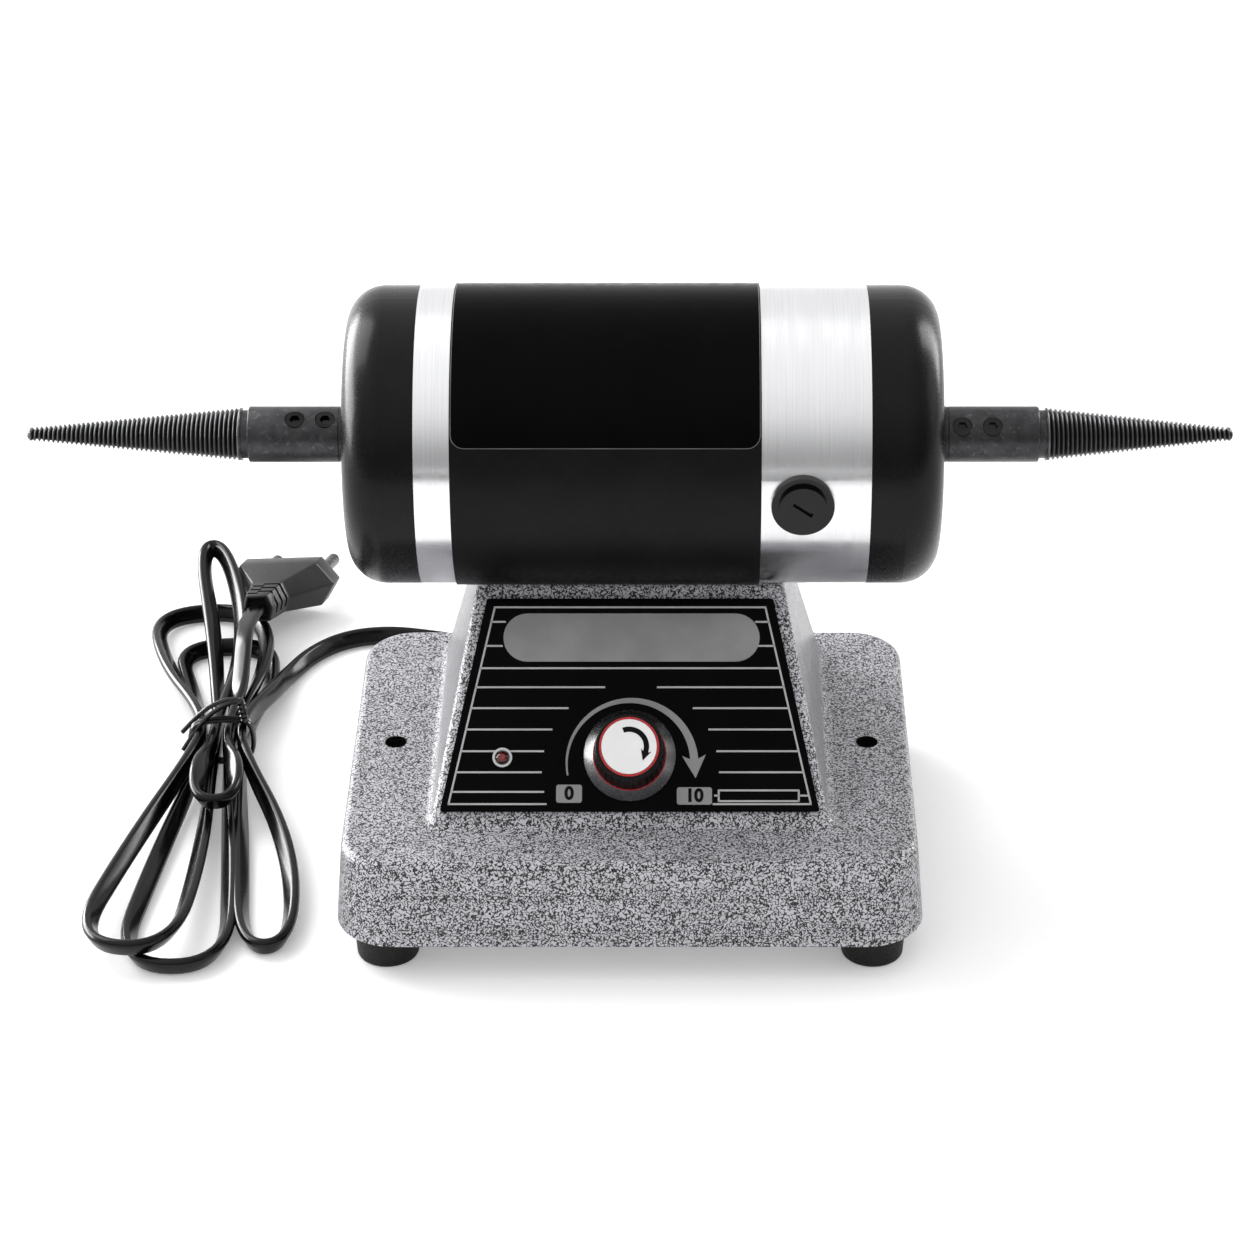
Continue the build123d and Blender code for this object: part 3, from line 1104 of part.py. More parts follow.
PLUG_BODY_LENGTH = PLUG_NECK + PLUG_SHOULDER + PLUG_PLATE
with BuildPart() as plug_body:
    with BuildSketch(PLUG_PLANE.offset(PLUG_NECK + PLUG_SHOULDER)):
        plug_section(1)
    extrude(amount=PLUG_PLATE)
    fillet(plug_body.faces().sort_by(Axis(PLUG_PLANE.origin, PLUG_FORWARD))[-1].edges(), PLUG_EDGE_RADIUS)
    with BuildSketch(PLUG_PLANE.offset(PLUG_NECK)):
        plug_section(PLUG_SHOULDER_SHARE)
    with BuildSketch(PLUG_PLANE.offset(PLUG_NECK + PLUG_SHOULDER)):
        plug_section(1)
    loft()
    with BuildSketch(PLUG_PLANE):
        Circle(PLUG_NECK_DIAMETER / 2)
    extrude(amount=PLUG_NECK, taper=PLUG_NECK_TAPER)
    for groove in range(1, PLUG_GROOVES + 1):
        groove_station = PLUG_NECK * groove / (PLUG_GROOVES + 1) - PLUG_GROOVE_WIDTH / 2
        with BuildSketch(PLUG_PLANE.offset(groove_station)):
            Circle(PLUG_THICKNESS)
            Circle(PLUG_CORE_DIAMETER / 2, mode=Mode.SUBTRACT)
        extrude(amount=PLUG_GROOVE_WIDTH, mode=Mode.SUBTRACT)
finish(plug_body, "plug_body")

with BuildPart() as plug_pins:
    with BuildSketch(PLUG_PLANE.offset(PLUG_BODY_LENGTH)):
        with Locations((-PIN_SPACING / 2, 0), (PIN_SPACING / 2, 0)):
            Circle(PIN_DIAMETER / 2)
    extrude(amount=PIN_LENGTH)
    fillet(plug_pins.faces().sort_by(Axis(PLUG_PLANE.origin, PLUG_FORWARD))[-2:].edges(), PIN_ROUND)
finish(plug_pins, "plug_pins")
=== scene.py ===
"""Looks of a bench buffer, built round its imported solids: finishes, print, threads, cord and stage."""

import json
import math

import bpy
from bpy.props import FloatProperty, FloatVectorProperty, IntProperty, PointerProperty
from mathutils import Euler, Matrix, Vector


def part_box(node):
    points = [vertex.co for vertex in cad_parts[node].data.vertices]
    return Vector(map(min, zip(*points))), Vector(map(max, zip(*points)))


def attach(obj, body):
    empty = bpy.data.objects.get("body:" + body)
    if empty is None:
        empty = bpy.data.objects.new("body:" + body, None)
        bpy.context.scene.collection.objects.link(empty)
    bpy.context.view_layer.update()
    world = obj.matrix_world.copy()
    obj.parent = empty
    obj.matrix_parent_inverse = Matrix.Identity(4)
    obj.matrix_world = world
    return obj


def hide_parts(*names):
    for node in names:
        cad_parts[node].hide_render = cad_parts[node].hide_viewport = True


bl_info = {
    "name": "Bench buffer",
    "version": (1, 0, 0),
    "blender": (4, 5, 0),
    "location": "View3D > Sidebar > Buffer",
    "description": "Dresses a bench buffer: cord, plug, spindles, knob, panel print, finishes and stage",
    "category": "Object",
}

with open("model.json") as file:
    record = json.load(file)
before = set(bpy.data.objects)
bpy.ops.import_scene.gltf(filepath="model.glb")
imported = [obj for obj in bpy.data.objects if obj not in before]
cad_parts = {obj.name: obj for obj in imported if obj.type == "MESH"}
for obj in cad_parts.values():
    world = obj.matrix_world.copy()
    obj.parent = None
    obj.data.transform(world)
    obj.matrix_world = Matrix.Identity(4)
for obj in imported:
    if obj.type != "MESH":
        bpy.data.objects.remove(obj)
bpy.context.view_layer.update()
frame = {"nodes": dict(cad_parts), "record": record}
MM = 0.001
FULL_TURN = 2 * math.pi

# Places that come from the solids
TUBE_LOW, TUBE_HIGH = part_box("motor_tube")
BAND_LOW, BAND_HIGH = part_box("motor_band")
AXIS_Y = (TUBE_LOW.y + TUBE_HIGH.y) / 2
AXIS_Z = (TUBE_LOW.z + TUBE_HIGH.z) / 2
BAND_RADIUS = BAND_HIGH.z - AXIS_Z

# The panel's plane: its foot on the base, leaning back
PANEL_FOOT = Vector((0, -44.3, 35.0)) * MM
PANEL_LEAN = math.radians(41.0)
PANEL_ACROSS = Vector((1, 0, 0))
PANEL_UP = Vector((0, math.sin(PANEL_LEAN), math.cos(PANEL_LEAN)))
PANEL_OUT = Vector((0, -math.cos(PANEL_LEAN), math.sin(PANEL_LEAN)))
PANEL_FACE = 1.0 * MM
KNOB_RISE = 19.6 * MM
KNOB_FOOT = 1.4 * MM
KNOB_SKIRT_HEIGHT = 3.0 * MM
KNOB_TOP = 16.8 * MM
KNOB_CAP_TOP = 17.1 * MM
LAMP_SPOT = (-34.1 * MM, 19.1 * MM)

# The cord's route, in millimetres as in the part's source
GLAND_SLOPE = math.radians(4.7)
GLAND_ORIGIN = Vector((-30.0, 64.0 - 12.0 * math.tan(GLAND_SLOPE), 22.5))
GLAND_OUT = Vector((0, math.cos(GLAND_SLOPE), math.sin(GLAND_SLOPE)))
GLAND_REACH = 24.0
END_RUN = 9.0
LEAD_ROUTE = [
    (-34.0, 99.5, 11.5),
    (-46.0, 105.0, 3.2),
    (-61.0, 111.5, 2.3),
    (-76.0, 114.5, 2.4),
    (-89.0, 111.5, 2.3),
    (-98.5, 102.0, 2.4),
    (-104.5, 88.5, 2.8),
    (-107.5, 72.5, 6.8),
]
PLUG_ROUTE = [
    (-116.4, 65.0, 11.2),
    (-116.6, 77.0, 13.4),
    (-117.0, 89.0, 16.0),
]
PLUG_START = Vector((-115.1, 111.2, 13.9))
PLUG_HEADING = math.radians(76.9)
PLUG_PITCH = math.radians(-9.9)
PLUG_ROLL = math.radians(8.3)
PLUG_FORWARD = Vector(
    (
        math.cos(PLUG_HEADING) * math.cos(PLUG_PITCH),
        math.sin(PLUG_HEADING) * math.cos(PLUG_PITCH),
        math.sin(PLUG_PITCH),
    )
)
PLUG_LEVEL = Vector((math.sin(PLUG_HEADING), -math.cos(PLUG_HEADING), 0))
PLUG_RIGHT = PLUG_LEVEL * math.cos(PLUG_ROLL) + PLUG_LEVEL.cross(PLUG_FORWARD) * math.sin(PLUG_ROLL)
HANK_WAIST = Vector((-119.5, 45.0, 0))
HANK_WAIST_LENGTH = 16.0
HANK_LIFT = 4.1
HANK_MIDDLE_COLUMN = 1.5
HANK_COLUMN_STEP = 3.9
HANK_LAYER_STEP = 5.6
HANK_FLARE_SHARE = 0.52
# Each lobe: near or far side, swing, reach, tip width, flare width, bow, heights of the flare, the tip and
# the other flare, the side that the cord comes in on, and the column and layer of its two strands
HANK_LOBES = [
    (-1, 10.0, 91.0, 14.0, 14.0, 3.4, (5.0, 2.3, 2.3), 1, (3, 1), (3, 0)),
    (1, -6.0, 54.0, 28.0, 24.0, 2.2, (2.3, 2.3, 2.3), 1, (3, 0), (0, 0)),
    (-1, -0.8, 99.0, 30.0, 21.5, 0.0, (2.3, 2.3, 2.3), -1, (0, 0), (2, 0)),
    (1, -9.9, 75.5, 29.0, 33.0, 3.2, (9.3, 2.3, 6.6), 1, (2, 0), (0, 1)),
    (-1, -7.2, 98.5, 27.0, 20.0, 0.0, (7.0, 7.6, 4.5), -1, (0, 1), (1, 0)),
    (1, -6.6, 94.0, 8.4, 9.8, 4.7, (8.2, 14.8, 9.0), -1, (1, 0), (1, 1)),
    (-1, 3.5, 29.5, 10.0, 11.0, 0.3, (13.2, 10.0, 13.2), -1, (1, 1), (2, 1)),
]


# Small helpers for modelling

DOUBLES_GAP = 0.002 * MM
SMOOTH_ANGLE = math.radians(40)
SPLINE_ORDER = 3


def deselect():
    """Leaves edit mode and deselects every object."""
    if bpy.context.mode != "OBJECT":
        bpy.ops.object.mode_set(mode="OBJECT")
    bpy.ops.object.select_all(action="DESELECT")


def activate(*pieces):
    """Leaves edit mode and selects these pieces alone, the first one active."""
    deselect()
    for piece in pieces:
        piece.select_set(True)
    bpy.context.view_layer.objects.active = pieces[0]


def edit(piece):
    """Opens a piece in edit mode with everything selected."""
    activate(piece)
    bpy.ops.object.mode_set(mode="EDIT")
    bpy.ops.mesh.select_all(action="SELECT")


def edit_face(piece, order):
    """Opens a piece in edit mode with one face selected, the last one in an order."""
    edit(piece)
    bpy.ops.mesh.select_all(action="DESELECT")
    bpy.ops.object.mode_set(mode="OBJECT")
    max(piece.data.polygons, key=order).select = True
    bpy.ops.object.mode_set(mode="EDIT")


def draw_out(way, stretch=None):
    """Draws the selected faces out by a way, and stretches them there."""
    bpy.ops.mesh.extrude_region_move(TRANSFORM_OT_translate={"value": way})
    if stretch:
        bpy.ops.transform.resize(value=stretch)


def close_up(piece):
    """Merges doubled points and turns the faces outwards."""
    edit(piece)
    bpy.ops.mesh.remove_doubles(threshold=DOUBLES_GAP)
    bpy.ops.mesh.normals_make_consistent(inside=False)
    bpy.ops.object.mode_set(mode="OBJECT")


def modify(piece, kind, **settings):
    """Adds a modifier with these settings and applies it."""
    activate(piece)
    modifier = piece.modifiers.new(kind.lower(), kind)
    for name, value in settings.items():
        setattr(modifier, name, value)
    bpy.ops.object.modifier_apply(modifier=modifier.name)


def round_edges(piece, width, steps, angle):
    """Rounds the edges that are sharper than an angle."""
    modify(piece, "BEVEL", width=width, segments=steps, limit_method="ANGLE", angle_limit=angle)


def thicken(piece, thickness):
    """Gives a sheet its thickness, outwards."""
    modify(piece, "SOLIDIFY", thickness=thickness, offset=1.0)


def cut(piece, cutters):
    """Cuts other pieces out of a piece and removes them."""
    for cutter in cutters:
        modify(piece, "BOOLEAN", object=cutter, operation="DIFFERENCE", solver="EXACT")
        bpy.data.objects.remove(cutter)


def join(pieces):
    """Joins pieces into the first one."""
    activate(*pieces)
    bpy.ops.object.join()
    return pieces[0]


def smooth(piece, angle=SMOOTH_ANGLE):
    """Smooth shading that keeps the edges sharper than an angle."""
    activate(piece)
    bpy.ops.object.shade_smooth_by_angle(angle=angle)


def place(piece, matrix):
    """Moves a piece by a matrix, kept in its mesh."""
    piece.data.transform(matrix)
    piece.data.update()


def on_panel(across, rise, lift):
    """The matrix of a spot on the panel: X across it, Y up its slope, Z out of it."""
    spot = PANEL_FOOT + PANEL_ACROSS * across + PANEL_UP * rise + PANEL_OUT * lift
    turn = Matrix((PANEL_ACROSS, PANEL_UP, PANEL_OUT)).transposed()
    return Matrix.Translation(spot) @ turn.to_4x4()


def slot_finish(slot):
    """The finish that the finishes step made for a slot."""
    return bpy.data.materials[f"{slot}_finish"]


def settle(piece, name, body, slot, *nodes, finish=None):
    """Names and finishes a piece, hides the nodes that it stands for, and lets it ride on its body."""
    activate(piece)
    bpy.ops.object.transform_apply(location=True, rotation=True, scale=True)
    piece.name = name
    piece.data.name = name
    piece.data.materials.clear()
    piece.data.materials.append(slot_finish(slot) if finish is None else finish)
    if nodes:
        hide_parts(*nodes)
    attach(piece, body)


def new_object(name, data):
    """Puts a mesh or a curve into the scene."""
    piece = bpy.data.objects.new(name, data)
    bpy.context.scene.collection.objects.link(piece)
    return piece


def new_mesh(name, points, faces, edges=()):
    """A mesh object from points, and faces or edges."""
    mesh = bpy.data.meshes.new(name)
    mesh.from_pydata(points, list(edges), faces)
    return new_object(name, mesh)


def new_disc(sides, radius):
    """A flat disc of one face, to draw a piece out of."""
    deselect()
    bpy.ops.mesh.primitive_circle_add(vertices=sides, radius=radius, fill_type="NGON")
    return bpy.context.object


def new_curve(name, steps, radius, bevel_steps):
    """A curve with a round section."""
    curve = bpy.data.curves.new(name, "CURVE")
    curve.dimensions = "3D"
    curve.resolution_u = steps
    curve.bevel_depth = radius
    curve.bevel_resolution = bevel_steps
    curve.use_fill_caps = True
    return curve


def add_strand(curve, points, closed=False):
    """Adds one smooth strand to a curve and returns its knots."""
    spline = curve.splines.new("NURBS")
    spline.points.add(len(points) - 1)
    for knot, point in zip(spline.points, points):
        knot.co = (*point, 1.0)
    spline.order_u = SPLINE_ORDER
    spline.use_cyclic_u = closed
    spline.use_endpoint_u = not closed
    return spline.points


# Small helpers for finishes

# The sockets of a mix node, which names them alike for values and for colours
VALUE_FIRST = 2
VALUE_SECOND = 3
COLOUR_FIRST = 6
COLOUR_SECOND = 7
COLOUR_RESULT = 2
BROAD_GRAIN = 9.0
NOISE_RANGE = (0.3, 0.7)


def feed(tree, node, inputs):
    """Sets a node's inputs to values or to other nodes' sockets."""
    for key, value in inputs.items():
        if isinstance(value, bpy.types.NodeSocket):
            tree.links.new(value, node.inputs[key])
        else:
            node.inputs[key].default_value = value


def add_node(tree, kind, inputs, **settings):
    """Adds a node with its inputs and settings."""
    node = tree.nodes.new(kind)
    for name, value in settings.items():
        setattr(node, name, value)
    feed(tree, node, inputs)
    return node


def maths(tree, operation, *values):
    """The result of an operation on values or sockets."""
    return add_node(tree, "ShaderNodeMath", dict(enumerate(values)), operation=operation).outputs[0]


def vector_maths(tree, operation, *values):
    """The results of an operation on vectors."""
    return add_node(tree, "ShaderNodeVectorMath", dict(enumerate(values)), operation=operation).outputs


def new_finish(name):
    """A material with a principled shader, and its tree."""
    finish = bpy.data.materials.new(name)
    finish.use_nodes = True
    return finish, finish.node_tree, finish.node_tree.nodes["Principled BSDF"]


def grain_noise(tree, size, detail=3.0, stretch=(1, 1, 1), roughness=0.5):
    """Noise on Object coordinates whose features are about a size across."""
    where = add_node(tree, "ShaderNodeTexCoord", {}).outputs["Object"]
    scaled = add_node(tree, "ShaderNodeMapping", {"Vector": where, "Scale": stretch}).outputs["Vector"]
    inputs = {"Vector": scaled, "Scale": 1 / size, "Detail": detail, "Roughness": roughness}
    return add_node(tree, "ShaderNodeTexNoise", inputs).outputs["Fac"]


def spread(tree, value, low, high, first=0.0, last=1.0):
    """Maps a value from one range onto another, clamped."""
    inputs = {"Value": value, "From Min": low, "From Max": high, "To Min": first, "To Max": last}
    return add_node(tree, "ShaderNodeMapRange", inputs, interpolation_type="SMOOTHSTEP").outputs["Result"]


def blend_values(tree, share, first, second):
    """Mixes two values by a share."""
    inputs = {0: share, VALUE_FIRST: first, VALUE_SECOND: second}
    return add_node(tree, "ShaderNodeMix", inputs, data_type="FLOAT").outputs[0]


def blend_colours(tree, share, first, second):
    """Mixes two colours by a share."""
    inputs = {0: share, COLOUR_FIRST: first, COLOUR_SECOND: second}
    return add_node(tree, "ShaderNodeMix", inputs, data_type="RGBA").outputs[COLOUR_RESULT]


def bump(tree, height, distance, strength=1.0):
    """A bump of some distance from a height from 0 to 1."""
    inputs = {"Height": height, "Distance": distance, "Strength": strength}
    return add_node(tree, "ShaderNodeBump", inputs).outputs["Normal"]


def solid(colour):
    """A colour with its alpha."""
    return (*colour, 1.0)


def speckled(name, colour, second, grain, rough, metallic=0.0, relief=0.0, specular=0.5):
    """A finish of two close colours whose gloss and relief a grain breaks, its lengths in millimetres."""
    finish, tree, shader = new_finish(name)
    fine = grain_noise(tree, grain * MM)
    share = spread(tree, grain_noise(tree, grain * MM * BROAD_GRAIN), *NOISE_RANGE)
    inputs = {
        "Base Color": blend_colours(tree, share, solid(colour), solid(second)),
        "Roughness": spread(tree, fine, *NOISE_RANGE, *rough),
        "Metallic": metallic,
        "Specular IOR Level": specular,
    }
    if relief:
        inputs["Normal"] = bump(tree, fine, relief * MM)
    feed(tree, shader, inputs)
    return finish


# Sizes and colours that a user would change


def length_setting(name, description, default):
    """A setting that is a length."""
    return FloatProperty(name=name, description=description, default=default, unit="LENGTH")


def angle_setting(name, description, degrees):
    """A setting that is an angle."""
    return FloatProperty(name=name, description=description, default=math.radians(degrees), subtype="ANGLE")


def colour_setting(name, description, default):
    """A setting that is a colour."""
    return FloatVectorProperty(name=name, description=description, default=default, subtype="COLOR")


class StageSettings(bpy.types.PropertyGroup):
    """Camera, floor and light."""

    floor_size: length_setting("Floor size", "Side of the floor", 30.0)
    floor_colour: colour_setting("Floor", "Colour of the floor", (0.95, 0.95, 0.95))
    floor_lift: FloatProperty(
        name="Floor lift", description="Light of its own that the floor shows the camera", default=0.22
    )
    lens: FloatProperty(
        name="Lens", description="Focal length in millimetres", default=110.95, subtype="DISTANCE_CAMERA"
    )
    camera_place: FloatVectorProperty(
        name="Camera", description="Where the camera stands", default=(0.01306, -0.91072, 0.59854),
        subtype="TRANSLATION", unit="LENGTH",
    )
    camera_tilt: angle_setting("Tilt", "Turn of the camera up from straight down", 60.137)
    camera_shift: FloatVectorProperty(
        name="Shift", description="Shift of the picture", default=(-0.0411, -0.0099), size=2
    )
    card_colour: colour_setting("Card", "Colour of the table's dark end", (0.2, 0.2, 0.2))
    sky_level: FloatProperty(name="Sky", description="Light of the white surroundings", default=1.0)
    front_level: FloatProperty(
        name="Front", description="Light of the foot of the wall in front of the machine", default=0.38
    )


class CordSettings(bpy.types.PropertyGroup):
    """Power cord, plug and tie."""

    width: length_setting("Width", "Width of the flat cord", 5.6 * MM)
    thickness: length_setting("Thickness", "Thickness of the flat cord", 2.9 * MM)
    length: length_setting("Length", "Length from the strain relief to the plug", 1.521)
    wire: length_setting("Tie wire", "Diameter of the tie's wire", 1.4 * MM)


class SpindleSettings(bpy.types.PropertyGroup):
    """Tapered screw spindles."""

    pitch: length_setting("Pitch", "Step of the thread", 1.25 * MM)
    depth: length_setting("Depth", "Depth of the thread", 0.75 * MM)
    sides: IntProperty(name="Sides", description="Sides of the thread's cone", default=56, min=12)
    colour: colour_setting("Oxide", "Colour of the black oxide", (0.038, 0.038, 0.04))
    # Painted shade: the thread's grooves are coloured darker than the oxide, for the shade that falls in
    # them
    groove_shade_colour: colour_setting("Grooves", "Colour of the painted shade in the thread's grooves", (0.006, 0.006, 0.007))
    # Painted highlight with wear: the thread's crests are coloured paler than the oxide, for wear and for
    # the light that catches them
    crest_wear_and_highlight_colour: colour_setting("Crests", "Colour of the crests, worn and with a painted highlight", (0.14, 0.14, 0.145))


class KnobSettings(bpy.types.PropertyGroup):
    """Speed knob."""

    flutes: IntProperty(name="Flutes", description="Flutes round the grip", default=30, min=6)
    flute_depth: length_setting("Flute depth", "Depth of a flute", 0.28 * MM)
    grip_radius: length_setting("Grip radius", "Radius of the grip's foot", 9.7 * MM)
    grip_top_radius: length_setting("Grip top", "Radius of the grip's top", 9.0 * MM)


class PanelSettings(bpy.types.PropertyGroup):
    """Print on the control panel and the label on the motor."""

    line: length_setting("Line", "Width of a printed line", 0.5 * MM)
    print_height: length_setting("Print height", "Thickness of the print", 0.05 * MM)
    print_colour: colour_setting("Print", "Colour of the print", (0.5, 0.5, 0.51))
    plate_colour: colour_setting("Plates", "Colour of the pale plates", (0.3, 0.3, 0.305))
    label_from: angle_setting("Label from", "Where the label starts in front, above level", 22.0)
    label_to: angle_setting("Label to", "Where the label ends behind the top", 112.0)
    label_corner: length_setting("Label corner", "Radius of the label's corners", 3.4 * MM)


class EnamelSettings(bpy.types.PropertyGroup):
    """Hammered enamel of the casting."""

    vein: length_setting("Vein", "Size of the enamel's veins", 0.86 * MM)
    pale: colour_setting("Pale", "Colour between the veins", (0.62, 0.613, 0.65))
    dark: colour_setting("Dark", "Colour of the veins", (0.018, 0.0185, 0.02))


SETTINGS = {
    "buffer_stage": StageSettings,
    "buffer_cord": CordSettings,
    "buffer_spindle": SpindleSettings,
    "buffer_knob": KnobSettings,
    "buffer_panel": PanelSettings,
    "buffer_enamel": EnamelSettings,
}


# Operators


class BUFFER_OT_stage(bpy.types.Operator):
    """Makes the floor, the surroundings, the lamps and the camera"""

    bl_idname = "buffer.stage"
    bl_label = "Stage"

    FLOOR_DROP = 0.05 * MM
    WALL_RISE = (math.sin(math.radians(4)), math.sin(math.radians(58)))
    WALL_SIDE = (math.cos(math.radians(80)), math.cos(math.radians(55)))
    # The surroundings from the left to the right, as shares of their light
    SIDE_RANGE = (-0.8, 0.8)
    SIDE_SHARES = (1.24, 0.72)
    # Each lamp: place, width, height, watts, and whether it lights matt surfaces or only shows in gloss
    LAMPS = {
        "lamp_over": ((-0.3, 0.2, 1.9), 2.2, 2.2, 1.2, True),
        "lamp_left": ((-0.9, 0.55, 1.0), 0.9, 0.9, 13.0, True),
        "lamp_right": ((1.35, 0.15, 0.6), 0.7, 0.7, 1.5, True),
        "softbox_left": ((-1.1, 0.5, 0.28), 1.3, 0.55, 36.0, False),
        "softbox_right": ((1.0, 0.75, 0.6), 0.4, 1.2, 14.0, False),
    }
    # The dark end of the table, in front of the machine: its near edge, depth, width and lift
    CARD_EDGE = -0.82
    CARD_DEPTH = 2.4
    CARD_WIDTH = 5.0
    CARD_LIFT = 0.2 * MM
    CARD_GRAIN = 1000.0
    CARD_ROUGH = (0.8, 0.9)
    LAMP_AIM = Vector((0, 0, 0.08))

    def execute(self, context):
        settings = context.scene.buffer_stage
        deselect()
        bpy.ops.mesh.primitive_plane_add(size=settings.floor_size, location=(0, 0, -self.FLOOR_DROP))
        floor = context.object
        floor.name = "floor"
        floor.data.materials.append(self.floor_finish(settings))
        card_spot = (0, self.CARD_EDGE - self.CARD_DEPTH / 2, self.CARD_LIFT - self.FLOOR_DROP)
        bpy.ops.mesh.primitive_plane_add(size=1, location=card_spot)
        card = context.object
        card.name = "dark_card"
        place(card, Matrix.Diagonal((self.CARD_WIDTH, self.CARD_DEPTH, 1, 1)))
        card.visible_camera = False
        card.visible_diffuse = False
        card.visible_shadow = False
        grey = settings.card_colour
        card.data.materials.append(
            speckled("card_grey", grey, grey, self.CARD_GRAIN, self.CARD_ROUGH, specular=0.0)
        )
        self.surroundings(context.scene, settings)
        for name, (spot, width, height, watts, lights_matt) in self.LAMPS.items():
            aim = (self.LAMP_AIM - Vector(spot)).to_track_quat("-Z", "Y").to_euler()
            bpy.ops.object.light_add(type="AREA", location=spot, rotation=aim)
            lamp = context.object
            lamp.name = name
            lamp.data.shape = "RECTANGLE"
            lamp.data.size = width
            lamp.data.size_y = height
            lamp.data.energy = watts
            lamp.visible_camera = False
            lamp.visible_diffuse = lights_matt
        tilt = Euler((settings.camera_tilt, 0, 0))
        bpy.ops.object.camera_add(location=settings.camera_place, rotation=tilt)
        camera = context.object
        camera.data.lens = settings.lens
        camera.data.shift_x, camera.data.shift_y = settings.camera_shift
        context.scene.camera = camera
        context.scene.view_settings.view_transform = "Standard"
        return {"FINISHED"}

    def floor_finish(self, settings):
        """White floor that keeps the shadow and shows white to the camera and to mirrors."""
        finish, tree, shader = new_finish("floor_white")
        tree.nodes.remove(shader)
        path = add_node(tree, "ShaderNodeLightPath", {}).outputs
        seen = path["Is Camera Ray"]
        for kind in ("Is Glossy Ray", "Is Transmission Ray"):
            seen = maths(tree, "MAXIMUM", seen, path[kind])
        lift = maths(tree, "MULTIPLY", seen, settings.floor_lift)
        paint = add_node(tree, "ShaderNodeBsdfDiffuse", {"Color": solid(settings.floor_colour)}).outputs[0]
        glow = add_node(tree, "ShaderNodeEmission", {"Strength": lift}).outputs[0]
        both = add_node(tree, "ShaderNodeAddShader", {0: paint, 1: glow}).outputs[0]
        feed(tree, tree.nodes["Material Output"], {"Surface": both})
        return finish

    def surroundings(self, scene, settings):
        """White all round, with a dim wall in front and white to the camera."""
        world = bpy.data.worlds.new("white_studio")
        world.use_nodes = True
        scene.world = world
        tree = world.node_tree
        direction = add_node(tree, "ShaderNodeTexCoord", {}).outputs["Generated"]
        parts = add_node(tree, "ShaderNodeSeparateXYZ", {"Vector": direction}).outputs
        level = add_node(tree, "ShaderNodeCombineXYZ", {"X": parts["X"], "Y": parts["Y"]}).outputs["Vector"]
        heading = vector_maths(tree, "NORMALIZE", level)["Vector"]
        ahead = vector_maths(tree, "DOT_PRODUCT", heading, (0, -1, 0))["Value"]
        wall_side = spread(tree, ahead, *self.WALL_SIDE)
        wall = spread(tree, parts["Z"], *self.WALL_RISE, settings.front_level, settings.sky_level)
        light = blend_values(tree, wall_side, settings.sky_level, wall)
        side = spread(tree, parts["X"], *self.SIDE_RANGE, *self.SIDE_SHARES)
        seen = add_node(tree, "ShaderNodeLightPath", {}).outputs["Is Camera Ray"]
        shown = blend_values(tree, seen, maths(tree, "MULTIPLY", light, side), 1.0)
        feed(tree, tree.nodes["Background"], {"Color": solid((1, 1, 1)), "Strength": shown})


